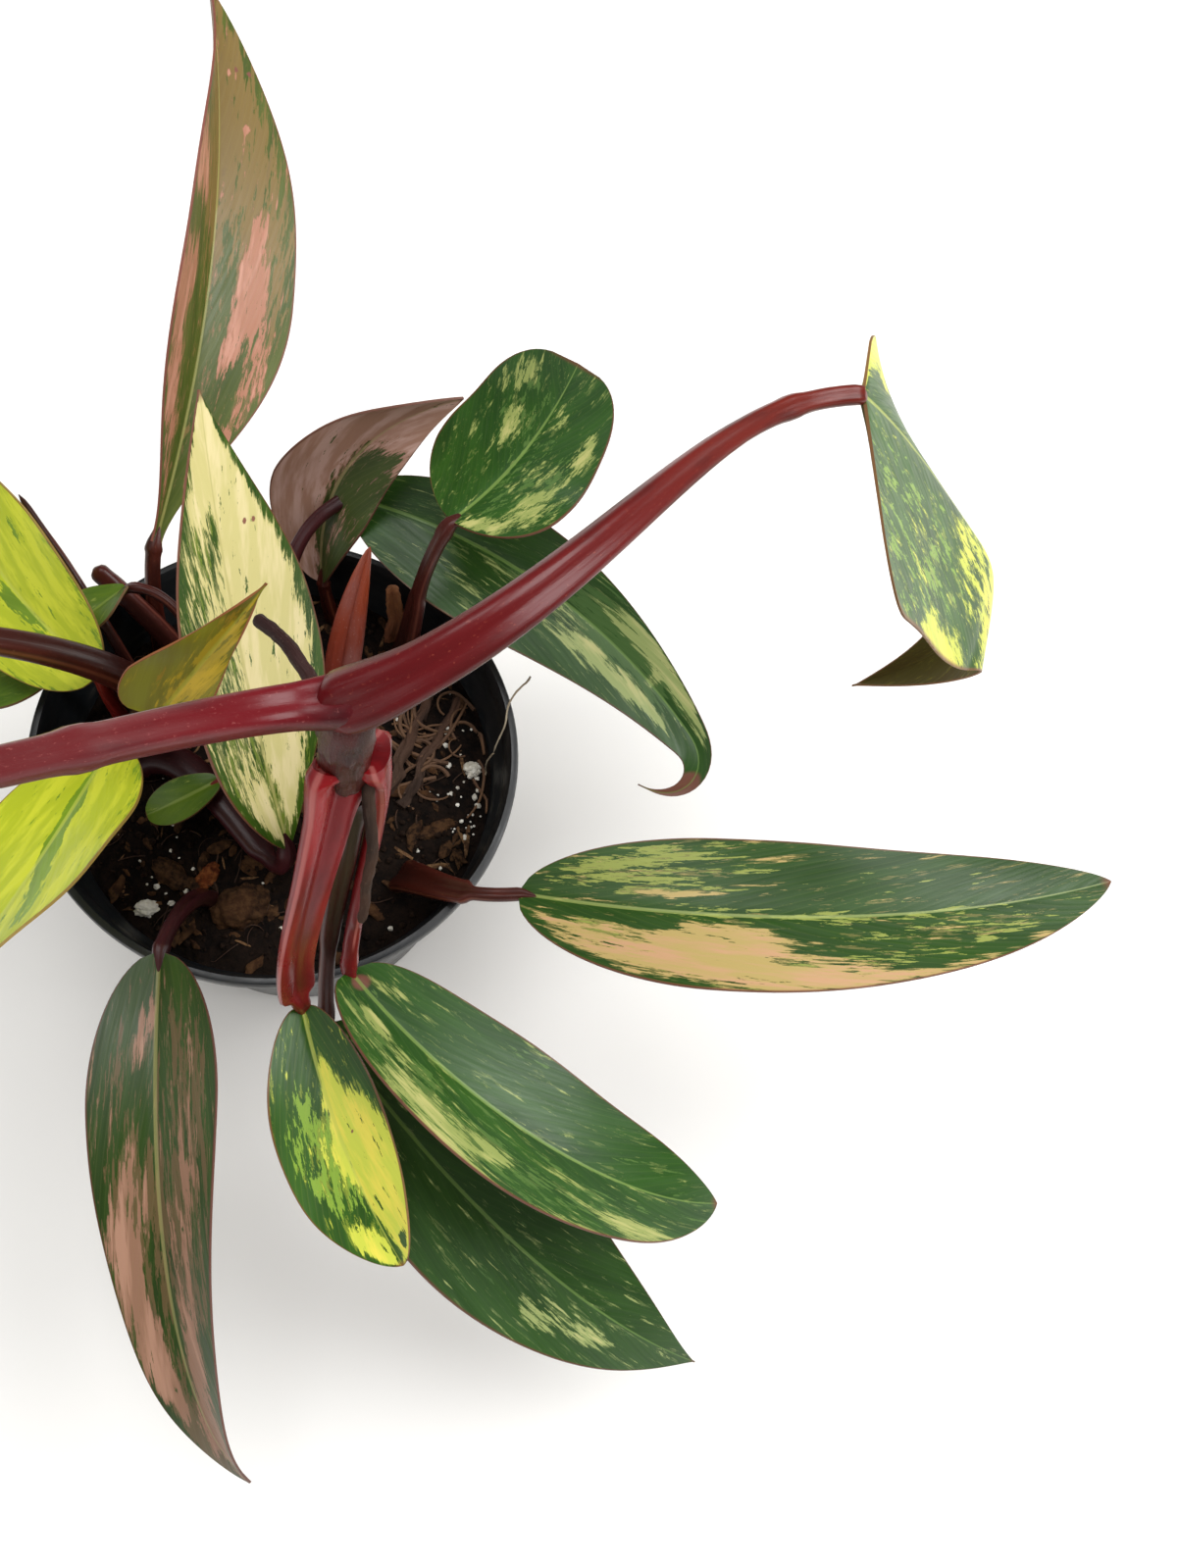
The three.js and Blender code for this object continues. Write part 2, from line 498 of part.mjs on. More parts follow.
/** Radius of the pot's inner wall at height z. */
function innerRadius(z) {
  const top = POT.height - POT.shoulderHeight - 1;
  const share = (z - POT.floor) / (top - POT.floor);
  return POT.footRadius + (POT.bodyTopRadius - POT.footRadius) * share - POT.wall;
}

/** The soil: a plug with a lumpy top, before the holes for what stands in it. */
function soilSolid() {
  const random = seeded(41);
  const ring = (radius, z, lump) => Array.from({ length: SOIL_SIDES }, (_, k) => {
    const angle = (2 * Math.PI * k) / SOIL_SIDES;
    const height = z + lump * (2 * random() - 1);
    return new THREE.Vector3(radius * Math.cos(angle), radius * Math.sin(angle), height);
  });
  const wallGap = GAP + 0.3;
  const rings = [
    ring(innerRadius(POT.floor + GAP) - wallGap, POT.floor + GAP, 0),
    ring(innerRadius(SOIL_TOP - 2) - wallGap, SOIL_TOP - 2, 0),
    ...SOIL_RINGS.slice().reverse().map((radius) => ring(radius, SOIL_TOP, SOIL_LUMP)),
  ];
  return loft(rings);
}

/** The largest connected piece of a solid, so that a cut leaves no loose scrap. */
function largest(solid) {
  return solid.decompose().reduce((best, one) => (one.volume() > best.volume() ? one : best));
}

const plant = new THREE.Group();
plant.name = 'potted_philodendron';

/** Adds a named mesh of a solid in its own material. */
function add(name, solid, colour, roughness) {
  const material = new THREE.MeshStandardMaterial({ color: colour, roughness, metalness: 0 });
  const mesh = new THREE.Mesh(geometryOf(solid), material);
  mesh.name = name;
  plant.add(mesh);
}

// What is already in place, each a little fat, so that what comes next is cut clear of it
const placed = [];

/** Cuts a solid clear of everything placed so far that comes near it, then places it. */
function fit(solid, fat) {
  const box = solid.boundingBox();
  const near = placed.filter((one) => {
    const other = one.boundingBox();
    return [0, 1, 2].every((k) => other.min[k] < box.max[k] && other.max[k] > box.min[k]);
  });
  const cut = near.length ? largest(near.reduce((rest, one) => rest.subtract(one), solid)) : solid;
  placed.push(fat);
  return cut;
}

const leaves = LEAVES.map((leaf) => ({ ...BLADE, ...leaf }));

for (const stem of [MAIN_STEM, SIDE_SHOOT]) {
  add(stem.name, fit(stemSolid(stem), stemSolid(stem, GAP)), stem.colour, 0.8);
}
for (const leaf of leaves) {
  add(`blade_${leaf.name}`, fit(bladeSolid(leaf), bladeSolid(leaf, GAP)), leaf.colour, 0.45);
}
for (const leaf of leaves) {
  const solid = fit(petioleSolid(leaf), petioleSolid(leaf, GAP));
  add(`petiole_${leaf.name}`, solid, leaf.petiole.tint ?? RED, 0.5);
}
for (const spike of SPIKES) {
  add(spike.name, fit(spikeSolid(spike), spikeSolid(spike, GAP)), spike.colour, 0.75);
}
for (const lump of LUMPS) {
  add(lump.name, fit(lumpSolid(lump), lumpSolid(lump, GAP)), lump.colour, 0.95);
}
add('soil', fit(soilSolid(), soilSolid()), BROWN, 1);
add('pot', potSolid(), 0x1d2022, 0.45);

export default plant;
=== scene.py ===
"""Potted caramel apple philodendron: variegated blades on red stalks in a thin black nursery pot.

Everything is in metres in the part's own frame: the origin is the centre of the pot's underside,
+Z is up, +X is the plant's right and +Y its back. Sizes in the tables are in millimetres.
"""
import logging
import math
import random
from dataclasses import dataclass, field
from enum import Enum
from typing import Callable, Optional, Sequence

import bpy
from mathutils import Matrix, Quaternion, Vector, noise


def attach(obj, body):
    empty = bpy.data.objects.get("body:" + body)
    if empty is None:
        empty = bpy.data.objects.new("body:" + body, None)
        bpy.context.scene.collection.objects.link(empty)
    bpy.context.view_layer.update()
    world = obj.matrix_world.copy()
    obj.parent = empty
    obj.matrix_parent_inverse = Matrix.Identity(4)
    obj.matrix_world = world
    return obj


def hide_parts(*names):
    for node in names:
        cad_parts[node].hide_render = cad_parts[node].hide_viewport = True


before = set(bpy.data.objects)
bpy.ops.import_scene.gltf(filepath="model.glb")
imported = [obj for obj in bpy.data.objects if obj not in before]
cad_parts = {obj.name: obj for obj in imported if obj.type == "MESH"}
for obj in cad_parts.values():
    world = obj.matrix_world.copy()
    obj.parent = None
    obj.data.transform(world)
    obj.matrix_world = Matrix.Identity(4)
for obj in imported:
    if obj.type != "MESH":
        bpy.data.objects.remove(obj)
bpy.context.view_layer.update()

LOG = logging.getLogger("philodendron")
UP = Vector((0.0, 0.0, 1.0))
FULL_TURN = 2 * math.pi
MM = 0.001
UV_PER_METRE = 100
MM_PER_UV = 10
SOIL_REACH = 79  # in millimetres: what starts below this height stands in the soil

Colour = tuple[float, float, float, float]
Socket = bpy.types.NodeSocket
Material = bpy.types.Material
Piece = bpy.types.Object


def srgb(code: str) -> Colour:
    """Turn a hex colour into linear RGBA.

    Args:
        code: The colour as six hex digits.

    Returns:
        The linear colour with full alpha.
    """
    parts = [int(code[i:i + 2], 16) / 255 for i in (0, 2, 4)]
    linear = [c / 12.92 if c <= 0.04045 else ((c + 0.055) / 1.055) ** 2.4 for c in parts]
    return (linear[0], linear[1], linear[2], 1.0)


def smooth(x: float) -> float:
    """Ease x from 0 to 1, clamped at both ends."""
    x = min(max(x, 0.0), 1.0)
    return x * x * (3 - 2 * x)


def mm(point: Sequence[float]) -> Vector:
    """Turn a point in millimetres into metres."""
    return Vector(point) * MM


# ---------------------------------------------------------------- shaders


class Graph:
    """A node tree with short helpers for building it."""

    def __init__(self, tree: bpy.types.NodeTree) -> None:
        """Keep the tree.

        Args:
            tree: The node tree to build in.
        """
        self.tree = tree

    def node(self, kind: str, **settings: object) -> bpy.types.Node:
        """Add a node.

        Args:
            kind: The node's type name without its ShaderNode prefix.
            **settings: Properties to set on it.

        Returns:
            The new node.
        """
        made = self.tree.nodes.new(kind if kind.startswith("Node") else "ShaderNode" + kind)
        for name, value in settings.items():
            setattr(made, name, value)
        return made

    def feed(self, socket: Socket, value: object) -> None:
        """Link a socket into another, or set it to a plain value.

        Args:
            socket: The input socket.
            value: An output socket, a number or a colour.
        """
        if isinstance(value, Socket):
            self.tree.links.new(value, socket)
        else:
            socket.default_value = value

    def math(self, operation: str, a: object, b: object = 0.5) -> Socket:
        """Add a Math node.

        Args:
            operation: Its operation.
            a: First value.
            b: Second value, which an operation on one value leaves unread.

        Returns:
            Its output.
        """
        made = self.node("Math", operation=operation)
        self.feed(made.inputs[0], a)
        self.feed(made.inputs[1], b)
        return made.outputs[0]

    def times(self, a: object, b: object) -> Socket:
        """Multiply two values."""
        return self.math("MULTIPLY", a, b)

    def plus(self, a: object, b: object) -> Socket:
        """Add two values."""
        return self.math("ADD", a, b)

    def apart(self, a: object, b: object) -> Socket:
        """Give how far two values lie apart."""
        return self.math("ABSOLUTE", self.math("SUBTRACT", a, b))

    def mix(self, share: object, a: object, b: object) -> Socket:
        """Mix two colours.

        Args:
            share: How much of the second one, from 0 to 1.
            a: First colour.
            b: Second colour.

        Returns:
            The mixed colour.
        """
        made = self.node("Mix", data_type="RGBA")
        self.feed(made.inputs[0], share)
        self.feed(made.inputs[6], a)
        self.feed(made.inputs[7], b)
        return made.outputs[2]

    def step(self, value: object, low: float, high: float,
             to: tuple[float, float] = (0.0, 1.0)) -> Socket:
        """Map a value smoothly from one range to another.

        Args:
            value: The value.
            low: Where the ramp starts.
            high: Where it ends.
            to: Results at both ends.

        Returns:
            The mapped value.
        """
        made = self.node("MapRange", interpolation_type="SMOOTHSTEP")
        self.feed(made.inputs["Value"], value)
        ends = ("From Min", "From Max", "To Min", "To Max")
        for name, number in zip(ends, (low, high, *to)):
            made.inputs[name].default_value = number
        return made.outputs["Result"]

    def noise(self, vector: object, scale: float = 1.0, detail: float = 4.0,
              roughness: float = 0.55, stretch: Sequence[float] = (1.0, 1.0, 1.0),
              warp: float = 0.0) -> Socket:
        """Add a noise texture on stretched coordinates.

        Args:
            vector: The coordinates.
            scale: Features per unit.
            detail: Octaves.
            roughness: Strength of the finer octaves.
            stretch: Scale of each axis before the noise.
            warp: Distortion.

        Returns:
            The noise value, around 0.5.
        """
        mapping = self.node("Mapping")
        self.feed(mapping.inputs["Vector"], vector)
        mapping.inputs["Scale"].default_value = stretch
        made = self.node("TexNoise")
        self.feed(made.inputs["Vector"], mapping.outputs[0])
        settings = {"Scale": scale, "Detail": detail, "Roughness": roughness, "Distortion": warp}
        for name, number in settings.items():
            made.inputs[name].default_value = number
        return made.outputs[0]

    def bump(self, height: object, strength: float, distance: float) -> Socket:
        """Add a Bump node.

        Args:
            height: The height.
            strength: Its strength.
            distance: Height in metres of a value of 1.

        Returns:
            The bumped normal.
        """
        made = self.node("Bump")
        made.inputs["Strength"].default_value = strength
        made.inputs["Distance"].default_value = distance
        self.feed(made.inputs["Height"], height)
        return made.outputs[0]

    def split(self, vector: object) -> Sequence[Socket]:
        """Split a vector or colour into its three parts.

        Args:
            vector: The vector.

        Returns:
            The three outputs.
        """
        made = self.node("SeparateXYZ")
        self.feed(made.inputs[0], vector)
        return made.outputs

    def place(self, group: bpy.types.NodeTree, **values: object) -> bpy.types.NodeOutputs:
        """Place a node group.

        Args:
            group: The group.
            **values: Its inputs by name.

        Returns:
            The group's outputs.
        """
        made = self.node("Group", node_tree=group)
        for name, value in values.items():
            self.feed(made.inputs[name], value)
        return made.outputs


def new_group(name: str, inputs: dict[str, str],
              outputs: dict[str, str]) -> tuple[Graph, object, object]:
    """Start a shader node group with named sockets.

    Args:
        name: The group's name.
        inputs: Kind of each input socket by name.
        outputs: Kind of each output socket by name.

    Returns:
        The graph, the group's inputs and the group's outputs.
    """
    tree = bpy.data.node_groups.new(name, "ShaderNodeTree")
    for direction, sockets in (("INPUT", inputs), ("OUTPUT", outputs)):
        for label, kind in sockets.items():
            tree.interface.new_socket(label, in_out=direction, socket_type="NodeSocket" + kind)
    graph = Graph(tree)
    return graph, graph.node("NodeGroupInput").outputs, graph.node("NodeGroupOutput").inputs


def new_material(name: str) -> tuple[Material, Graph, bpy.types.Node]:
    """Start a material with a Principled shader.

    Args:
        name: The material's name.

    Returns:
        The material, its graph and the shader.
    """
    material = bpy.data.materials.new(name)
    material.use_nodes = True
    return material, Graph(material.node_tree), material.node_tree.nodes["Principled BSDF"]


class Effects:
    """Shader node groups that several finishes share, each built once."""

    def __init__(self) -> None:
        """Build the groups."""
        self.streaks = self._streaks()
        self.ribs = self._ribs()
        self.mottle = self._mottle()
        self.grit = self._grit()

    @staticmethod
    def _streaks() -> bpy.types.NodeTree:
        """Build ragged streaks that follow a blade's side veins.

        Returns:
            The group: a mask that covers about the share Density of the surface, a ragged halo
            round it, and a soft value that grows towards the middle of each streak.
        """
        coarse_share, fine_share, cloud_share, density_share, level = 5.4, 3.4, 2.4, 2.0, 5.4
        graph, given, out = new_group(
            "ragged streaks", {"Veins": "Vector", "Density": "Float", "Shift": "Float"},
            {"Mask": "Float", "Halo": "Float", "Soft": "Float"})
        shift = graph.node("CombineXYZ")
        graph.feed(shift.inputs[2], given["Shift"])
        moved = graph.node("VectorMath", operation="ADD")
        graph.feed(moved.inputs[0], given["Veins"])
        graph.feed(moved.inputs[1], shift.outputs[0])
        place = moved.outputs[0]
        coarse = graph.noise(place, detail=7.0, roughness=0.62, stretch=(4.6, 1.15, 1.0), warp=0.5)
        fine = graph.noise(place, roughness=0.7, stretch=(15.0, 3.0, 1.0), warp=0.2)
        cloud = graph.noise(place, detail=5.0, roughness=0.65, stretch=(9.0, 1.9, 4.0), warp=0.3)
        both = graph.plus(graph.times(coarse, coarse_share), graph.times(fine, fine_share))
        filled = graph.plus(both, graph.times(given["Density"], density_share))
        centred = graph.math("SUBTRACT", filled, level)
        around = graph.plus(centred, graph.times(cloud, cloud_share))
        graph.feed(out["Mask"], graph.step(centred, -0.03, 0.03))
        graph.feed(out["Halo"], graph.step(around, 0.84, 0.88))
        graph.feed(out["Soft"], graph.step(centred, -0.2, 1.5))
        return graph.tree

    @staticmethod
    def _ribs() -> bpy.types.NodeTree:
        """Build the fine side veins of a blade.

        Returns:
            The group: a line mask and a height.
        """
        vein_gap, wobble_share, fine_share = 0.42, 0.2, 0.8
        graph, given, out = new_group("side veins", {"Veins": "Vector"},
                                      {"Line": "Float", "Height": "Float"})
        wobble = graph.noise(given["Veins"], scale=1.5, detail=2.0)
        along = graph.plus(graph.split(given["Veins"])[1], graph.times(wobble, wobble_share))
        wave = graph.math("SINE", graph.times(along, FULL_TURN / vein_gap))
        ridge = graph.plus(graph.times(wave, 0.5), 0.5)
        graph.feed(out["Line"], graph.step(ridge, 0.86, 1.0))
        fine = graph.noise(given["Veins"], roughness=0.6, stretch=(9.0, 26.0, 1.0))
        graph.feed(out["Height"], graph.plus(ridge, graph.times(fine, fine_share)))
        return graph.tree

    @staticmethod
    def _mottle() -> bpy.types.NodeTree:
        """Build the lengthwise streaks and specks of a stalk.

        Returns:
            The group: a broad shade, fine specks and a height.
        """
        speck_share = 0.25
        graph, given, out = new_group("stalk mottle", {"Along": "Vector"},
                                      {"Shade": "Float", "Specks": "Float", "Height": "Float"})
        along = given["Along"]
        graph.feed(out["Shade"], graph.noise(along, stretch=(1.2, 0.35, 1.0)))
        speck = graph.noise(along, detail=3.0, roughness=0.7, stretch=(16.0, 9.0, 1.0))
        graph.feed(out["Specks"], graph.step(speck, 0.6, 0.72))
        fibre = graph.noise(along, roughness=0.6, stretch=(14.0, 1.1, 1.0))
        graph.feed(out["Height"], graph.plus(fibre, graph.times(speck, speck_share)))
        return graph.tree

    @staticmethod
    def _grit() -> bpy.types.NodeTree:
        """Build the crumbly grain of soil, bark and mineral grains.

        Returns:
            The group: a broad tone, a fine tone and a height.
        """
        broad_share = 0.8
        graph, given, out = new_group("grit", {"Place": "Vector", "Size": "Float"},
                                      {"Broad": "Float", "Fine": "Float", "Height": "Float"})
        scaled = graph.node("VectorMath", operation="SCALE")
        graph.feed(scaled.inputs[0], given["Place"])
        graph.feed(scaled.inputs["Scale"], given["Size"])
        broad = graph.noise(scaled.outputs[0], scale=60.0, roughness=0.6)
        fine = graph.noise(scaled.outputs[0], scale=420.0, detail=6.0, roughness=0.7)
        graph.feed(out["Broad"], graph.step(broad, 0.38, 0.62))
        graph.feed(out["Fine"], graph.step(fine, 0.4, 0.62))
        graph.feed(out["Height"], graph.plus(fine, graph.times(broad, broad_share)))
        return graph.tree


# --------------------------------------------------------------- finishes


@dataclass(frozen=True)
class LeafFinish:
    """Colours of a blade: green ground, pale and blushed streaks, rib, margin and underside."""

    name: str
    slot: str
    deep: str
    fresh: str
    pale: str
    cream: str
    blush: str
    rib: str
    margin: str
    under: str
    under_share: float = 0.62
    gloss: float = 0.36

    SPECULAR = 0.36
    STREAK_SHIFTS = (9.1, 3.7, 17.3)  # where the pale, blushed and dark streaks' noise is read
    HALF_TONE = 0.34
    HALO_SHARE = 0.75
    VEIN_SHARE = 0.045
    RIB_SHARE = 0.6
    MARGIN_SHARE = 0.9
    UNDER_ROUGHER = 0.16
    UPPER_RELIEF = 0.13
    LOWER_RELIEF = 0.5
    RELIEF_HEIGHT = 0.00028

    def materials(self, effects: Effects) -> tuple[Material, Material]:
        """Make the materials of the upper and the lower face.

        Args:
            effects: The shared node groups.

        Returns:
            The upper and the lower material.
        """
        return self._face(effects, False), self._face(effects, True)

    def _face(self, effects: Effects, lower: bool) -> Material:
        """Make the material of one face.

        Args:
            effects: The shared node groups.
            lower: Whether it is the underside.

        Returns:
            The material.
        """
        side = "underside" if lower else "upper side"
        material, graph, shader = new_material(f"{self.name} {side}")
        veins = graph.node("UVMap", uv_map="Veins").outputs[0]
        lines = graph.place(effects.ribs, Veins=veins)
        from_rib = graph.math("ABSOLUTE", graph.split(veins)[0])
        colour = self._variegated(graph, effects, veins)
        colour = self._lined(graph, colour, lines["Line"], from_rib)
        if lower:
            colour = graph.mix(self.under_share, colour, srgb(self.under))
        graph.feed(shader.inputs["Base Color"], colour)

        rough = graph.noise(veins, roughness=0.6, stretch=(3.0, 5.0, 1.0))
        base = self.gloss + (self.UNDER_ROUGHER if lower else 0.0)
        satin = graph.step(rough, 0.3, 0.75, (base - 0.05, base + 0.12))
        graph.feed(shader.inputs["Roughness"], satin)
        shader.inputs["Specular IOR Level"].default_value = self.SPECULAR
        groove = graph.step(from_rib, 0.0, 0.09)
        height = graph.plus(graph.times(lines["Height"], 0.3), groove)
        relief = self.LOWER_RELIEF if lower else self.UPPER_RELIEF
        graph.feed(shader.inputs["Normal"], graph.bump(height, relief, self.RELIEF_HEIGHT))
        return material

    def _variegated(self, graph: Graph, effects: Effects, veins: Socket) -> Socket:
        """Paint the blushed, pale, dark and bronze patches on the green ground.

        Args:
            graph: The material's graph.
            effects: The shared node groups.
            veins: Coordinates across and along the side veins.

        Returns:
            The colour.
        """
        painted = graph.node("Attribute", attribute_name="Patches").outputs
        patches = graph.node("SeparateColor")
        graph.feed(patches.inputs[0], painted["Color"])
        in_pale, in_blush, in_dark = (
            graph.place(effects.streaks, Veins=veins, Density=density, Shift=shift)
            for density, shift in zip(patches.outputs, self.STREAK_SHIFTS))
        tone = graph.noise(veins, detail=5.0, roughness=0.6, stretch=(0.9, 0.5, 1.0))
        ground = graph.mix(graph.step(tone, 0.25, 0.75), srgb(self.deep), srgb(self.fresh))
        drift = graph.noise(veins, roughness=0.6, stretch=(2.2, 0.55, 1.0))
        creamy = graph.times(graph.step(in_pale["Soft"], 0.1, 0.6), graph.step(drift, 0.42, 0.6))
        light = graph.mix(creamy, srgb(self.pale), srgb(self.cream))
        half_tone = graph.mix(self.HALF_TONE, ground, srgb(self.pale))
        colour = graph.mix(in_blush["Mask"], ground, srgb(self.blush))
        colour = graph.mix(graph.times(in_pale["Halo"], self.HALO_SHARE), colour, half_tone)
        colour = graph.mix(in_pale["Mask"], colour, light)
        colour = graph.mix(in_dark["Mask"], colour, ground)
        return graph.mix(graph.step(painted["Alpha"], 0.42, 0.58), colour, srgb(self.under))

    def _lined(self, graph: Graph, colour: Socket, line: Socket, from_rib: Socket) -> Socket:
        """Draw the side veins, the midrib and the margin.

        Args:
            graph: The material's graph.
            colour: The blade's colour so far.
            line: Mask of the side veins.
            from_rib: Distance from the midrib in centimetres.

        Returns:
            The colour.
        """
        blade = graph.split(graph.node("UVMap", uv_map="Blade").outputs[0])
        colour = graph.mix(graph.times(line, self.VEIN_SHARE), colour, srgb(self.rib))
        half_rib = graph.step(blade[1], 0.35, 1.0, (0.044, 0.01))
        in_rib = graph.step(graph.math("SUBTRACT", half_rib, from_rib), -0.014, 0.012)
        colour = graph.mix(graph.times(in_rib, self.RIB_SHARE), colour, srgb(self.rib))
        off_middle = graph.times(graph.apart(blade[0], 0.5), 2.0)
        at_side, at_tip = graph.step(off_middle, 0.968, 0.998), graph.step(blade[1], 0.972, 1.0)
        margin = graph.times(graph.math("MAXIMUM", at_side, at_tip), self.MARGIN_SHARE)
        return graph.mix(margin, colour, srgb(self.margin))


@dataclass(frozen=True)
class StalkFinish:
    """Colours of a petiole, stem or root, from its lower to its upper end."""

    name: str
    low: str
    high: str
    # shade: the darker tone of the random streaks, and also the painted shade in a sheath's channel
    shade: str
    speck: str
    gloss: float = 0.34
    relief: float = 0.16
    # rim: a sheath's pale lip margin, partly a painted highlight where the lips catch the light;
    # empty for none
    rim: str = ""

    SPECULAR = 0.32
    SHADE_SHARE = 0.75
    SPECK_SHARE = 0.35
    CHANNEL_SHADE_SHARE = 0.45
    RIM_AND_HIGHLIGHT_SHARE = 0.6
    RIM_AT = 0.205  # share of the girth from the channel's middle to its rim
    RELIEF_HEIGHT = 0.0005

    def material(self, effects: Effects) -> Material:
        """Make the material.

        Args:
            effects: The shared node groups.

        Returns:
            The material.
        """
        material, graph, shader = new_material(self.name)
        along = graph.node("UVMap", uv_map="Along").outputs[0]
        round_share, share = graph.split(graph.node("UVMap", uv_map="Share").outputs[0])[:2]
        mottle = graph.place(effects.mottle, Along=along)
        colour = graph.mix(graph.step(share, 0.1, 0.9), srgb(self.low), srgb(self.high))
        shaded = graph.times(graph.step(mottle["Shade"], 0.42, 0.68), self.SHADE_SHARE)
        colour = graph.mix(shaded, colour, srgb(self.shade))
        specks = graph.times(mottle["Specks"], self.SPECK_SHARE)
        colour = graph.mix(specks, colour, srgb(self.speck))
        if self.rim:
            colour = self._sheath(graph, colour, round_share, share)
        graph.feed(shader.inputs["Base Color"], colour)
        satin = graph.step(mottle["Shade"], 0.3, 0.7, (self.gloss, self.gloss + 0.07))
        graph.feed(shader.inputs["Roughness"], satin)
        shader.inputs["Specular IOR Level"].default_value = self.SPECULAR
        relief = graph.bump(mottle["Height"], self.relief, self.RELIEF_HEIGHT)
        graph.feed(shader.inputs["Normal"], relief)
        return material

    def _sheath(self, graph: Graph, colour: Socket, round_share: Socket, share: Socket) -> Socket:
        """Paint shade into the channel below the sheath's end, and lighten its rim, a pale margin
        that is partly a painted highlight on the lips.

        Args:
            graph: The material's graph.
            colour: The stalk's colour so far.
            round_share: Share round the section.
            share: Share along.

        Returns:
            The colour.
        """
        off_middle = graph.apart(round_share, 0.5)
        off_rim = graph.apart(off_middle, self.RIM_AT)
        below_end = graph.step(share, 0.86, 0.8)
        # painted shade: the channel between the lips is darkened where shadow falls in it
        channel_shade = graph.times(graph.step(off_middle, 0.15, 0.06), below_end)
        # the lips take the rim colour: a pale margin, partly a painted highlight
        rim = graph.times(graph.step(off_rim, 0.034, 0.008), below_end)
        colour = graph.mix(graph.times(channel_shade, self.CHANNEL_SHADE_SHARE), colour, srgb(self.shade))
        return graph.mix(graph.times(rim, self.RIM_AND_HIGHLIGHT_SHARE), colour, srgb(self.rim))


@dataclass(frozen=True)
class GritFinish:
    """Colours of soil, bark or mineral grains."""

    name: str
    dark: str
    light: str
    fleck: str
    size: float = 1.0
    roughness: float = 0.9
    relief: float = 0.8

    SPECULAR = 0.12
    FLECK_SHARE = 0.5
    RELIEF_HEIGHT = 0.0007

    def material(self, effects: Effects) -> Material:
        """Make the material.

        Args:
            effects: The shared node groups.

        Returns:
            The material.
        """
        material, graph, shader = new_material(self.name)
        place = graph.node("TexCoord").outputs["Object"]
        grit = graph.place(effects.grit, Place=place, Size=self.size)
        colour = graph.mix(grit["Broad"], srgb(self.dark), srgb(self.light))
        colour = graph.mix(graph.times(grit["Fine"], self.FLECK_SHARE), colour, srgb(self.fleck))
        graph.feed(shader.inputs["Base Color"], colour)
        shader.inputs["Roughness"].default_value = self.roughness
        shader.inputs["Specular IOR Level"].default_value = self.SPECULAR
        relief = graph.bump(grit["Height"], self.relief, self.RELIEF_HEIGHT)
        graph.feed(shader.inputs["Normal"], relief)
        return material


@dataclass(frozen=True)
class PotFinish:
    """Thin black moulded plastic, finely scratched, with greyer scuffed streaks lower down the
    wall.
    """

    name: str = "black nursery plastic"
    black: str = "16191c"
    lower_grey: str = "4a4640"
    relief: float = 0.12

    RELIEF_HEIGHT = 0.0003
    GREYING_LINE = (0.086, 0.078)  # heights in metres between which the wall turns greyer in streaks downwards

    def material(self, effects: Effects) -> Material:
        """Make the material.

        Args:
            effects: The shared node groups.

        Returns:
            The material.
        """
        material, graph, shader = new_material(self.name)
        place = graph.node("TexCoord").outputs["Object"]
        grit = graph.place(effects.grit, Place=place, Size=1.0)
        scuff = graph.noise(place, detail=6.0, roughness=0.65, stretch=(90.0, 90.0, 700.0))
        low = graph.step(graph.split(place)[2], *self.GREYING_LINE, (0.12, 0.5))
        greyed = graph.times(graph.step(scuff, 0.5, 0.74), low)
        graph.feed(shader.inputs["Base Color"],
                   graph.mix(greyed, srgb(self.black), srgb(self.lower_grey)))
        graph.feed(shader.inputs["Roughness"], graph.step(scuff, 0.35, 0.7, (0.3, 0.5)))
        relief = graph.bump(graph.plus(grit["Height"], scuff), self.relief, self.RELIEF_HEIGHT)
        graph.feed(shader.inputs["Normal"], relief)
        return material


GREEN_LIME = LeafFinish("green leaf with lime flecks", "leaf_green", "1c3f0e", "2c5414", "8a9650",
                        "b2b06c", "4a6a2c", "7f9a4c", "6b3a28", "6f4436")
DEEP_GREEN = LeafFinish("deep green leaf", "leaf_green", "1e3d0f", "2b4e16", "8d9a5c", "b2b074",
                        "3f5e2a", "6c8a44", "5c3626", "6a4234")
GREEN_SALMON = LeafFinish("green leaf with salmon", "leaf_green", "1f3d0e", "2e5015", "b09a5e",
                          "bf9670", "8a9444", "93a055", "6e3f2c", "74483a")
YELLOW_GREEN = LeafFinish("green leaf with yellow", "leaf_lime", "23450f", "386218", "c6cd48",
                          "e2d552", "7fa034", "b7bf52", "7a4a26", "84603c", 0.5)
CREAM_GREEN = LeafFinish("green leaf with cream", "leaf_cream", "26440c", "3f5c14", "d0c684",
                         "e2d49e", "6c7f2c", "b9b06c", "6e3a2a", "8a5a48", 0.55)
SALMON_TAN = LeafFinish("olive leaf with salmon", "leaf_rose_brown", "3c4c14", "566022", "a87258",
                        "c28a74", "7c6636", "a3a05c", "7a3a30", "7c4a3e", 0.55)
ROSE_BROWN = LeafFinish("green leaf with rose brown", "leaf_rose_brown", "20350a", "314a14",
                        "8a6650", "a47c66", "5c4c2e", "8f8a55", "5a3226", "6a4034")
DUSTY_ROSE = LeafFinish("dusty rose leaf", "leaf_rose_brown", "2a3810", "3d4c18", "9c7664",
                        "b8968a", "74584a", "9a8a62", "5a3226", "6a4436", 0.5, 0.45)
OLIVE_GOLD = LeafFinish("olive and gold leaf", "leaf_olive", "5a4f0c", "6c6a12", "8f7a10", "a88c1a",
                        "7d6410", "8c8a2c", "7a3424", "8a5a28", 0.5)
LIME = LeafFinish("lime leaf", "leaf_lime", "5c7a14", "7a9a1c", "a9b51c", "c3c92c",
                  "93a81c", "b5bf4a", "7a4a26", "93823a", 0.5)
PLAIN_GREEN = LeafFinish("plain green leaf", "leaf_green", "3c5a0c", "587214", "7c8c34", "8f9c48",
                         "6a7c28", "7f9040", "5f3a24", "6c5232")

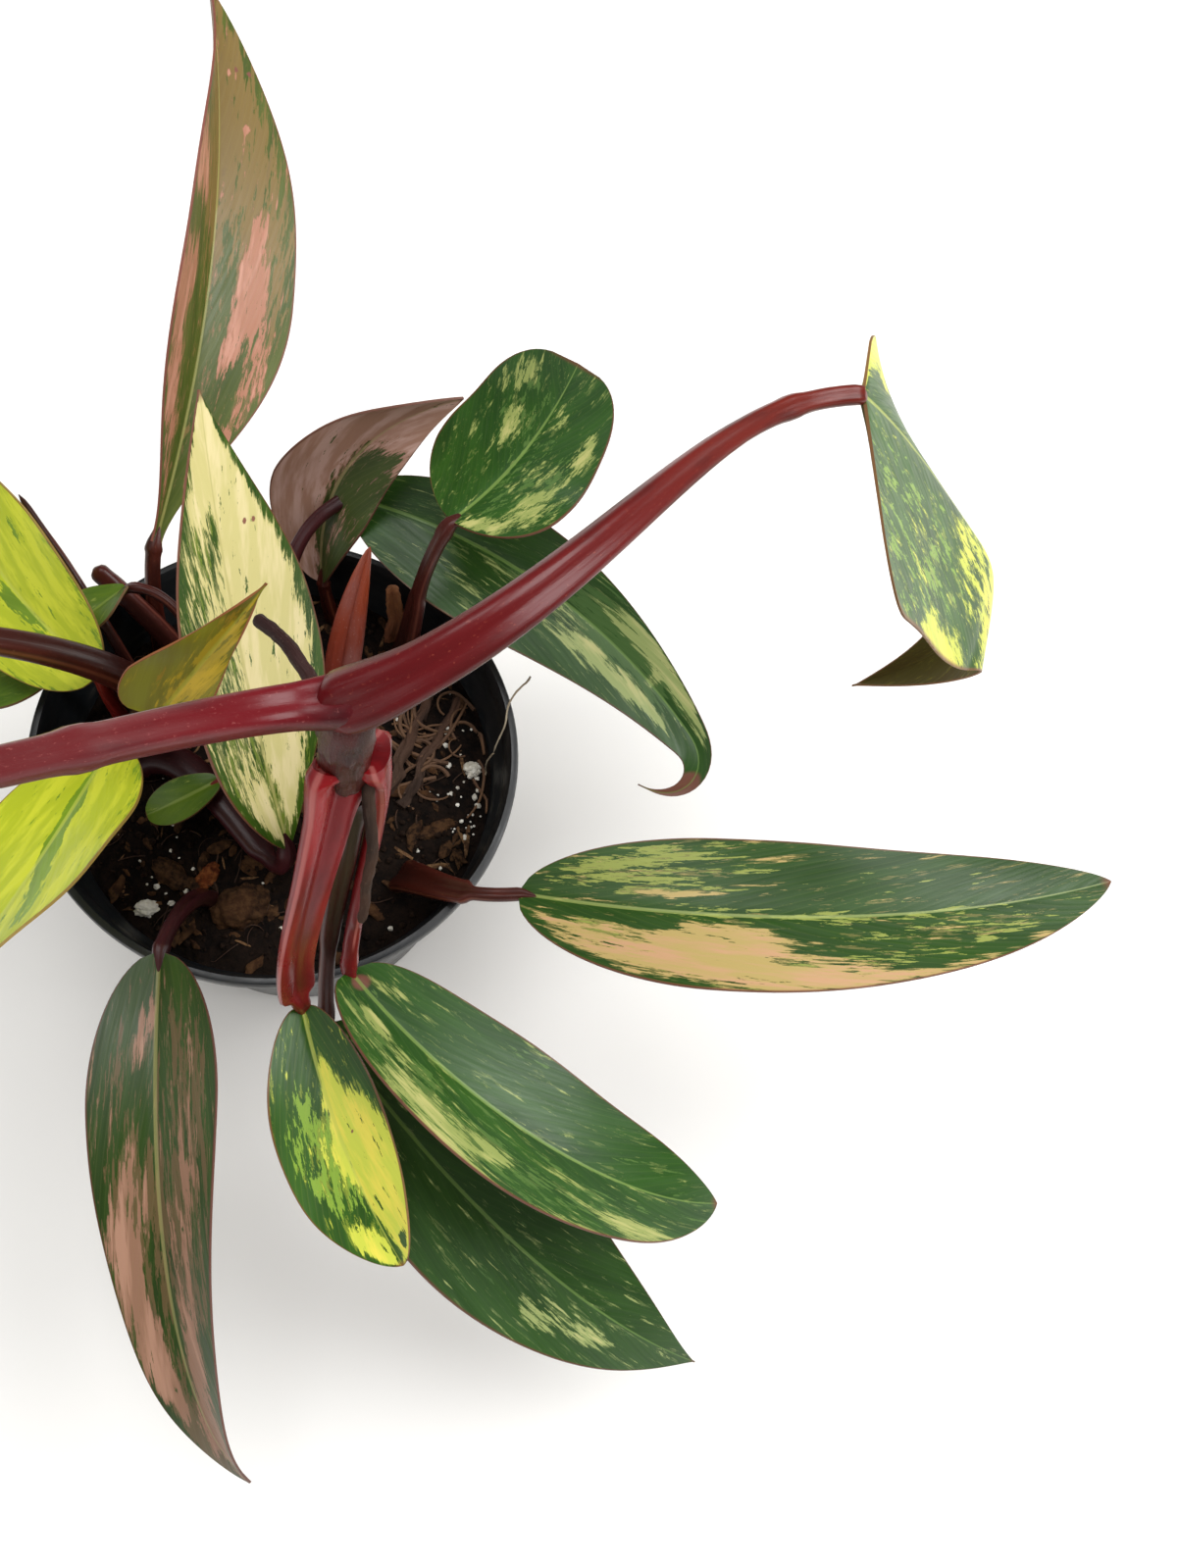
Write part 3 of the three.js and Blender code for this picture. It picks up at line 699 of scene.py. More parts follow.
RED_STALK = StalkFinish("red petiole", "5c0d12", "6a1d12", "3c0c0a", "a8523e", 0.28)
# A sheathed petiole's last colour is its rim: a pale margin, partly a painted highlight on the lips
CRIMSON_SHEATH = StalkFinish("rose sheath", "8e141a", "74141a", "520a10", "b04c40", 0.26, 0.16,
                             "c0706a")
ROSE_STALK = StalkFinish("rose petiole", "680f18", "5a1a1c", "380a10", "b46a66", 0.28)
BROWN_STALK = StalkFinish("brown petiole", "3a1813", "431a15", "220d0a", "80503e", 0.3, 0.16,
                          "6a3a2e")
DARK_STALK = StalkFinish("dark petiole", "301214", "3c171a", "1e0c0c", "704240", 0.28)
RUST_STALK = StalkFinish("rust petiole", "3c140e", "4a1d14", "240c08", "8e5a42", 0.3, 0.16,
                         "6e3c2a")
STEM = StalkFinish("brown stem", "3a1e12", "4a100c", "1c0605", "7e4a3a", 0.3, 0.8)
AERIAL = StalkFinish("aerial root", "36140f", "2a100d", "180806", "8a6a5a", 0.55, 1.0)
ROOT = StalkFinish("brown root", "3c2a1f", "4d3426", "241812", "7c5f48", 0.8, 0.9)
PALE_ROOT = StalkFinish("light root", "5c4230", "6e5038", "3a281c", "a0805c", 0.75, 0.9)
HAIR = StalkFinish("pale root hair", "8a7c68", "b3a690", "6a5c4a", "d0c6b0", 0.7, 0.4)
BUD = StalkFinish("young sheath", "7c3428", "a04426", "94605a", "d8a898", 0.3)
HUSK = StalkFinish("dried sheath", "7a4a30", "a06a44", "5c3624", "c09a70", 0.75, 0.9)

SOIL_MIX = GritFinish("potting mix", "080504", "130c08", "22160f")
CRUMB = GritFinish("soil crumbs", "0c0806", "1c120c", "34241a", 1.6)
BARK = GritFinish("bark chips", "1c110b", "3c2617", "5c4129", 1.3)
ORANGE_BARK = GritFinish("orange bark", "4a200f", "743a1b", "945a30", 1.3)
SLIVER = GritFinish("wood slivers", "38261a", "6a4c34", "8e6e4c", 1.4)
PERLITE = GritFinish("perlite", "a8a294", "dcd8cc", "efede6", 1.2, 0.8, 0.5)


class Finishes:
    """Makes each material once, on first use."""

    def __init__(self) -> None:
        """Build the shared groups and an empty shelf of materials."""
        self.effects = Effects()
        self._made: dict[str, object] = {}

    def leaf(self, finish: LeafFinish) -> tuple[Material, Material]:
        """Give the two materials of a blade's finish.

        Args:
            finish: The finish.

        Returns:
            The upper and the lower material.
        """
        if finish.name not in self._made:
            self._made[finish.name] = finish.materials(self.effects)
        return self._made[finish.name]

    def plain(self, finish: StalkFinish | GritFinish | PotFinish) -> Material:
        """Give the material of any other finish.

        Args:
            finish: The finish.

        Returns:
            The material.
        """
        if finish.name not in self._made:
            self._made[finish.name] = finish.material(self.effects)
        return self._made[finish.name]


# ------------------------------------------------------------- mesh making


def deselect_all() -> None:
    """Deselect every object."""
    if bpy.context.object and bpy.context.object.mode != "OBJECT":
        bpy.ops.object.mode_set(mode="OBJECT")
    bpy.ops.object.select_all(action="DESELECT")


def work_on(piece: Piece) -> None:
    """Select one object alone and make it active.

    Args:
        piece: The object.
    """
    deselect_all()
    piece.select_set(True)
    bpy.context.view_layer.objects.active = piece


def fresh_grid(name: str, columns: int, rows: int) -> Piece:
    """Add a flat unit grid to shape.

    Args:
        name: The piece's name.
        columns: Faces along X.
        rows: Faces along Y.

    Returns:
        The new object, with x and y from -0.5 to 0.5.
    """
    deselect_all()
    bpy.ops.mesh.primitive_grid_add(x_subdivisions=columns, y_subdivisions=rows, size=1.0)
    piece = bpy.context.object
    piece.name = piece.data.name = name
    return piece


def soft_shading(piece: Piece, angle: float) -> None:
    """Shade smooth up to an angle in degrees."""
    work_on(piece)
    bpy.ops.object.shade_smooth_by_angle(angle=math.radians(angle))


def apply_modifier(piece: Piece, kind: str, **settings: object) -> None:
    """Add a modifier and apply it at once.

    Args:
        piece: The object.
        kind: The modifier's type.
        **settings: Its properties.
    """
    work_on(piece)
    modifier = piece.modifiers.new(kind.title(), kind)
    for name, value in settings.items():
        setattr(modifier, name, value)
    bpy.ops.object.modifier_apply(modifier=modifier.name)


def tidy_mesh(piece: Piece, fill: bool = True) -> None:
    """Merge doubles, close open ends and turn the faces outwards.

    Args:
        piece: The object.
        fill: Whether open ends are filled.
    """
    work_on(piece)
    bpy.ops.object.mode_set(mode="EDIT")
    bpy.ops.mesh.select_all(action="SELECT")
    bpy.ops.mesh.remove_doubles(threshold=1e-6)
    if fill:
        bpy.ops.mesh.select_all(action="DESELECT")
        bpy.ops.mesh.select_non_manifold(extend=False)
        bpy.ops.mesh.fill_holes(sides=0)
    bpy.ops.mesh.select_all(action="SELECT")
    bpy.ops.mesh.normals_make_consistent(inside=False)
    bpy.ops.object.mode_set(mode="OBJECT")


def join_all(pieces: Sequence[Piece], name: str) -> Piece:
    """Join objects into one.

    Args:
        pieces: The objects.
        name: The joined object's name.

    Returns:
        The joined object.
    """
    deselect_all()
    for piece in pieces:
        piece.select_set(True)
    bpy.context.view_layer.objects.active = pieces[0]
    bpy.ops.object.join()
    joined = bpy.context.object
    joined.name = joined.data.name = name
    return joined


def rolled_tube(name: str, sides: int, rings: int, place: Callable[[float, float], Vector],
                girth: float, length: float) -> Piece:
    """Roll a grid into a closed tube and name its two UV maps.

    Args:
        name: The piece's name.
        sides: Faces round the tube.
        rings: Faces along it.
        place: Gives the point at a share round and a share along.
        girth: The tube's girth in metres, for the texture's scale.
        length: Its length in metres.

    Returns:
        The finished tube.
    """
    piece = fresh_grid(name, sides, rings)
    mesh = piece.data
    for vertex in mesh.vertices:
        vertex.co = place(vertex.co.x + 0.5, vertex.co.y + 0.5)
    mesh.uv_layers[0].name = "Share"
    along = mesh.uv_layers.new(name="Along")
    offset = random.uniform(0.0, 40.0)
    for source, target in zip(mesh.uv_layers["Share"].data, along.data):
        target.uv = (source.uv.x * girth * UV_PER_METRE,
                     source.uv.y * length * UV_PER_METRE + offset)
    tidy_mesh(piece)
    soft_shading(piece, angle=45)
    return piece


def finish_piece(piece: Piece, materials: Sequence[Material], slot: str,
                 nodes: Sequence[str] = ()) -> None:
    """Dress a piece, make it ride on the plant and report it.

    Args:
        piece: The finished object.
        materials: Its materials in slot order.
        slot: Its material slot; not used.
        nodes: The CAD nodes it stands for.
    """
    if not piece.data.materials:
        for material in materials:
            piece.data.materials.append(material)
    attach(piece, "root")
    if nodes:
        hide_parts(*nodes)
    LOG.info("%s: %d faces", piece.name, len(piece.data.polygons))


# ----------------------------------------------------------------- leaves


class Tint(Enum):
    """What a patch adds to a blade's variegation."""

    PALE = 0
    BLUSH = 1
    DARK = 2
    BRONZE = 3


@dataclass(frozen=True)
class Patch:
    """A soft patch on a blade, in shares of its length (t) and of its half width (s)."""

    tint: Tint
    t: float
    s: float
    along: float
    across: float
    strength: float
    slant: float = 0.0

    EDGE = 1.7  # the higher, the sharper the patch's edge

    def at(self, t: float, s: float) -> float:
        """Give the patch's strength at a place on the blade.

        Args:
            t: Share of the length.
            s: Share of the half width.

        Returns:
            The strength.
        """
        x = (t - self.t - self.slant * (s - self.s)) / self.along
        y = (s - self.s) / self.across
        return self.strength * math.exp(-((x * x + y * y) ** self.EDGE))


def pale(*numbers: float) -> Patch:
    """Make a pale patch."""
    return Patch(Tint.PALE, *numbers)


def blush(*numbers: float) -> Patch:
    """Make a blushed patch."""
    return Patch(Tint.BLUSH, *numbers)


def dark(*numbers: float) -> Patch:
    """Make a patch of green streaks over the others."""
    return Patch(Tint.DARK, *numbers)


def bronze(*numbers: float) -> Patch:
    """Make a smooth brown patch, as on a scar or a turned tip."""
    return Patch(Tint.BRONZE, *numbers)


@dataclass
class RibPoint:
    """A point of the midrib with its direction, width axis and face axis."""

    at: Vector
    along: Vector
    across: Vector
    face: Vector


@dataclass
class Stalk:
    """A petiole's curve and section: handles, radii and trough in millimetres, the rest shares."""

    root: Sequence[float]
    out: Sequence[float]
    into: Sequence[float]
    thick: tuple[float, float]
    finish: StalkFinish
    slot: str
    sheath: float = 1.0
    flare: float = 1.0
    sheath_end: float = 0.68
    joint_at: float = 0.955
    groove: float = 0.3
    trough: float = 0.0
    sides: int = 28
    rings: int = 56

    def sheathed(self, u: float) -> float:
        """Give 1 along the sheath and 0 beyond its end, with a short ramp between."""
        return 1 - smooth((u - self.sheath_end + 0.05) / 0.08)


@dataclass
class Leaf:
    """A leaf: midrib, outline, variegation and petiole, in millimetres, degrees and shares."""

    name: str
    finish: LeafFinish
    base: Sequence[float]
    heading: float
    pitch: float
    length: float
    width: float
    stalk: Stalk
    patches: Sequence[Patch] = ()
    roll: float = 0.0
    droop: float = 20.0
    swerve: float = 0.0
    twist: float = 0.0
    curl: float = 0.0
    hook: float = 0.0
    curl_from: float = 0.75
    fold: float = 10.0
    fold_tip: Optional[float] = None
    widest: float = 0.4
    round: float = 0.6
    shoulder: float = 1.9
    point: float = 0.95
    lean: float = 0.0
    lobe: float = 0.0
    wave: float = 0.6
    flecks: float = -0.4
    thickness: float = 0.55
    rows: int = 84
    columns: int = 28
    rib: list[RibPoint] = field(default_factory=list)

    STEPS = 160
    NECK = 1.4  # half widths left at the petiole and at the tip, in millimetres
    TIP = 0.15
    FOLD_BY = 0.6  # share of the length where the fold has reached its value at the tip
    LOBE_BY = 0.35
    GROOVE = (0.35, 0.9)  # depth and half width along the rib above, in millimetres
    KEEL = (0.8, 1.1)  # and of the rib below
    SET_IN = (0.3, 0.75)  # how far the petiole's end lies behind and under the base, mm
    VEIN_STRETCH = 2.4
    BARE = -0.6  # density of the dark streaks where no patch lies
    FULL = 1.6  # highest density

    def trace_rib(self) -> None:
        """Walk along the midrib and keep its points."""
        heading, pitch, roll = (math.radians(a) for a in (self.heading, self.pitch, self.roll))
        along = Vector((math.cos(pitch) * math.cos(heading), math.cos(pitch) * math.sin(heading),
                        math.sin(pitch)))
        across = Vector((-math.sin(heading), math.cos(heading), 0.0))
        face = along.cross(across)
        tilt = Quaternion(along, roll)
        across.rotate(tilt)
        face.rotate(tilt)
        at = mm(self.base)
        step = 1.0 / self.STEPS
        self.rib = [RibPoint(at.copy(), along.copy(), across.copy(), face.copy())]
        for k in range(self.STEPS):
            x = ((k + 0.5) * step - self.curl_from) / (1 - self.curl_from)
            share = 6 * x * (1 - x) / (1 - self.curl_from) if x > 0 else 0.0
            before = along.copy()
            down = Quaternion(across, math.radians(self.droop + self.curl * share) * step)
            along.rotate(down)
            face.rotate(down)
            side = Quaternion(face, math.radians(self.swerve + self.hook * share) * step)
            along.rotate(side)
            across.rotate(side)
            turn = Quaternion(along, math.radians(self.twist) * step)
            across.rotate(turn)
            face.rotate(turn)
            at = at + (before + along) * (self.length * MM * step / 2)
            self.rib.append(RibPoint(at.copy(), along.copy(), across.copy(), face.copy()))

    def half_width(self, t: float) -> float:
        """Give half the blade's width in metres at a share of its length.

        Args:
            t: Share of the length.

        Returns:
            The half width.
        """
        if t < self.widest:
            shape = (1 - (1 - t / self.widest) ** 2) ** self.round
        else:
            fall = ((t - self.widest) / (1 - self.widest)) ** self.shoulder
            shape = max(1 - fall, 0.0) ** self.point
        neck = min(self.NECK, self.width / 8) * (1 - t) ** 8
        return max(self.width / 2 * shape + neck, self.TIP) * MM

    def rib_at(self, t: float) -> RibPoint:
        """Give the midrib's frame at a share of its length, between its two nearest points.

        Args:
            t: Share of the length.

        Returns:
            The frame.
        """
        place = min(max(t, 0.0), 1.0) * self.STEPS
        low = min(int(place), self.STEPS - 1)
        part = place - low
        a, b = self.rib[low], self.rib[low + 1]
        return RibPoint(a.at.lerp(b.at, part), a.along.lerp(b.along, part),
                        a.across.lerp(b.across, part), a.face.lerp(b.face, part))

    def surface(self, t: float, s: float) -> Vector:
        """Give the point of the upper face at a share of the length and of the half width.

        Args:
            t: Share of the length from the petiole.
            s: Share of the half width, with 1 the left margin.

        Returns:
            The point in metres.
        """
        rib = self.rib_at(t)
        half = self.half_width(t) * (1 + (0 if s == 0 else math.copysign(1, s)) * self.lean)
        tip_fold = self.fold if self.fold_tip is None else self.fold_tip
        fold = math.radians(self.fold + (tip_fold - self.fold) * min(t / self.FOLD_BY, 1.0))
        ripple = self.wave * MM * math.sin(14 * t + 2 * s) * math.sin(math.pi * t) * s * s
        back = self.lobe * half * 2 / self.width * abs(s) * max(1 - t / self.LOBE_BY, 0.0) ** 2
        bow = abs(s) ** 1.2 * half * math.sin(fold) + ripple
        deep, wide = self.GROOVE
        groove = deep * MM * math.exp(-(s * half / (wide * MM)) ** 2) * (1 - t)
        out = rib.across * (s * half * math.cos(fold))
        return rib.at + out + rib.face * (bow - groove) - rib.along * back

    def densities(self, t: float, s: float) -> tuple[float, ...]:
        """Give how pale, blushed, darkened and bronzed the blade is at a place.

        Args:
            t: Share of the length.
            s: Share of the half width.

        Returns:
            The four densities.
        """
        sums = [self.flecks, self.flecks, self.BARE, 0.0]
        for patch in self.patches:
            sums[patch.tint.value] += patch.at(t, s)
        return tuple(min(value, self.FULL) for value in sums)

    def build(self, finishes: Finishes) -> None:
        """Build and dress the blade and its petiole.

        Args:
            finishes: The shelf of materials.
        """
        self.trace_rib()
        self._build_blade(finishes)
        self._build_stalk(finishes)

    def _build_blade(self, finishes: Finishes) -> None:
        """Shape a grid into the blade, thicken it, and paint its patches.

        Args:
            finishes: The shelf of materials.
        """
        blade = fresh_grid(f"leaf_{self.name}", self.columns, self.rows)
        mesh = blade.data
        places = []
        for vertex in mesh.vertices:
            x, y = -vertex.co.x * 2, vertex.co.y + 0.5
            s = math.copysign(0.55 * abs(x) + 0.45 * abs(x) ** 1.8, x)
            t = 0.72 * y + 0.28 * (0.5 - 0.5 * math.cos(math.pi * y))
            places.append((t, s))
            vertex.co = self.surface(t, s)
        self._map_blade(mesh, places)
        sides = finishes.leaf(self.finish)
        for material in sides:
            mesh.materials.append(material)
        apply_modifier(blade, "SOLIDIFY", thickness=self.thickness * MM, offset=-1.0,
                       use_even_offset=False, material_offset=1, material_offset_rim=1)
        deep, wide = self.KEEL
        for index, (t, s) in enumerate(places, start=len(places)):
            off = s * self.half_width(t)
            keel = deep * MM * (1 - t) ** 0.8 * math.exp(-(off / (wide * MM)) ** 2)
            mesh.vertices[index].co -= self.rib_at(t).face * keel
        soft_shading(blade, angle=50)
        finish_piece(blade, sides, self.finish.slot, [f"blade_{self.name}"])

    def _map_blade(self, mesh: bpy.types.Mesh, places: Sequence[tuple[float, float]]) -> None:
        """Write the blade's UV maps and the densities of its patches.

        Args:
            mesh: The flat grid's mesh, already shaped.
            places: Share of the length and half width of each vertex.
        """
        mesh.uv_layers[0].name = "Blade"
        veins = mesh.uv_layers.new(name="Veins")
        patches = mesh.color_attributes.new("Patches", "FLOAT_COLOR", "POINT")
        offset = random.uniform(0.0, 60.0)
        coordinates = []
        slope = 0.9 * self.length / self.width + 0.3
        for index, (t, s) in enumerate(places):
            half = self.half_width(t) * UV_PER_METRE
            swept = abs(s) * half * (0.85 + 0.35 * abs(s))
            along = self.VEIN_STRETCH * (t * self.length / MM_PER_UV / slope - swept)
            coordinates.append((s * half, along + offset, t, s))
            patches.data[index].color = self.densities(t, s)
        blade = mesh.uv_layers["Blade"]
        for loop in mesh.loops:
            over, along, t, s = coordinates[loop.vertex_index]
            veins.data[loop.index].uv = (over, along)
            blade.data[loop.index].uv = (0.5 + s / 2, t)

    def _build_stalk(self, finishes: Finishes) -> None:
        """Sweep the petiole from its root into the blade's base.

        Args:
            finishes: The shelf of materials.
        """
        stalk = self.stalk
        start = self.rib[0]
        behind, under = self.SET_IN
        end = start.at - start.along * (behind * MM) - start.face * (under * MM)
        handles = [mm(stalk.root), mm(stalk.out), mm(stalk.into), end]
        sweep = Sweep(handles, start.face, stalk, start.along, self)
        tube = rolled_tube(f"stalk_{self.name}", stalk.sides, stalk.rings, sweep.place,
                           sweep.girth, sweep.length)
        finish_piece(tube, [finishes.plain(stalk.finish)], stalk.slot, [f"petiole_{self.name}"])


def bezier(handles: Sequence[Vector], u: float) -> Vector:
    """Give a point of a cubic curve.

    Args:
        handles: Its four handles.
        u: Share along.

    Returns:
        The point.
    """
    v = 1 - u
    first = handles[0] * v ** 3 + handles[1] * (3 * v * v * u)
    return first + handles[2] * (3 * v * u * u) + handles[3] * u ** 3


def bezier_tangent(handles: Sequence[Vector], u: float) -> Vector:
    """Give the direction of a cubic curve.

    Args:
        handles: Its four handles.
        u: Share along.

    Returns:
        The unit direction.
    """
    v = 1 - u
    slope = (handles[1] - handles[0]) * (v * v) + (handles[2] - handles[1]) * (2 * v * u)
    return (slope + (handles[3] - handles[2]) * (u * u)).normalized()


class Sweep:
    """The surface of a petiole: a grooved section carried along its curve."""

    STEPS = 120
    RUN_IN, RUN = 0.06, 0.9  # shares of the tube before its curve and on it
    SINK_SOIL, SINK_STEM = 9.0, 2.5  # how far the root end runs on into what carries it, mm
    REACH, DIP = 4.5, 0.15  # how far the blade's end runs on into the rib, and down, mm
    SLIM = 0.62
    JOINT = 0.16  # how far the joint under the blade swells, as a share
    PLAIN_GROOVE = 0.24

    def __init__(self, handles: Sequence[Vector], face: Vector, stalk: Stalk, along: Vector,
                 leaf: Leaf) -> None:
        """Carry the section's frame back from the blade to the root.

        Args:
            handles: The curve's four handles in metres.
            face: Direction the groove looks to at the blade.
            stalk: The petiole's sizes.
            along: Direction of the midrib at the blade.
            leaf: The leaf it carries.
        """
        self.stalk = stalk
        self.leaf = leaf
        self.along = along
        shares = [k / self.STEPS for k in range(self.STEPS + 1)]
        self.points = [bezier(handles, share) for share in shares]
        self.tangents = [bezier_tangent(handles, share) for share in shares]
        self.length = sum((b - a).length for a, b in zip(self.points, self.points[1:]))
        self.girth = FULL_TURN * stalk.thick[0] * MM
        self.ups: list[Vector] = []
        up = face.copy()
        for tangent in reversed(self.tangents):
            up = (up - tangent * up.dot(tangent)).normalized()
            self.ups.insert(0, up.copy())
        self.in_soil = stalk.root[2] < SOIL_REACH

    def radii(self, u: float) -> tuple[float, float]:
        """Give the section's half height and half width in metres at a share along.

        Args:
            u: Share along.

        Returns:
            Half height and half width.
        """
        low, high = self.stalk.thick
        tall = low + (high - low) * min(u * 1.4, 1.0)
        sheathed = self.stalk.sheathed(u)
        clasp = 1 + (self.stalk.sheath - 1) * sheathed
        swell = 1 + (self.stalk.flare - 1) * smooth(1 - u / 0.12)
        joint = 1 + self.JOINT * math.exp(-((u - self.stalk.joint_at) / 0.025) ** 2)
        wide = max(tall * clasp, self.stalk.trough * sheathed)
        return tall * swell * joint * MM, wide * swell * joint * MM

    def place(self, round_share: float, share: float) -> Vector:
        """Give a point of the petiole's surface.

        Args:
            round_share: Share round the section, from the side away from the groove.
            share: Share along, with a little run-in at each end.

        Returns:
            The point in metres.
        """
        u = (share - self.RUN_IN) / self.RUN
        on_curve = min(max(u, 0.0), 1.0)
        low = min(int(on_curve * self.STEPS), self.STEPS - 1)
        part = on_curve * self.STEPS - low
        centre = self.points[low].lerp(self.points[low + 1], part)
        tangent = self.tangents[low].lerp(self.tangents[low + 1], part).normalized()
        up = self.ups[low].lerp(self.ups[low + 1], part).normalized()
        side = tangent.cross(up)
        tall, wide = self.radii(on_curve)
        angle = FULL_TURN * (round_share - 0.5)
        deeper = (self.stalk.groove - self.PLAIN_GROOVE) * self.stalk.sheathed(u)
        depth = (self.PLAIN_GROOVE + deeper) * smooth((u + 0.06) / 0.08)
        half_open = 0.42 + 0.5 * (depth - self.PLAIN_GROOVE)
        from_lip = (abs(angle) - half_open - 0.42) / 0.22
        lip = (0.08 + 0.2 * (depth - self.PLAIN_GROOVE)) * math.exp(-from_lip ** 2)
        dip = 1 - depth * math.exp(-(angle / half_open) ** 2) + lip
        if u < 0:
            before = -u / 0.067
            if self.in_soil:
                centre = centre - UP * (self.SINK_SOIL * MM * before)
            else:
                centre = centre - tangent * (self.SINK_STEM * MM * before)
                tall, wide = tall * (1 + 2.2 * u), wide * (1 + 2.2 * u)
        if u > 1:
            beyond = (u - 1) / 0.0445
            centre = centre + self.along * (self.REACH * MM * beyond)
            centre = centre - self.leaf.rib[0].face * (self.DIP * MM * beyond)
            tall, wide = tall * (1 - self.SLIM * beyond), wide * (1 - self.SLIM * beyond)
        out = side * (math.sin(angle) * wide * (0.5 + 0.5 * dip))
        return centre + up * (math.cos(angle) * tall * dip) + out


def stalk(root: Sequence[float], out: Sequence[float], into: Sequence[float], low: float,
          high: float, finish: StalkFinish, slot: str, sheath: float = 1.0, flare: float = 1.0,
          **shape: float) -> Stalk:
    """Make a petiole from its handles, radii, finish and shape."""
    return Stalk(root, out, into, (low, high), finish, slot, sheath, flare, **shape)


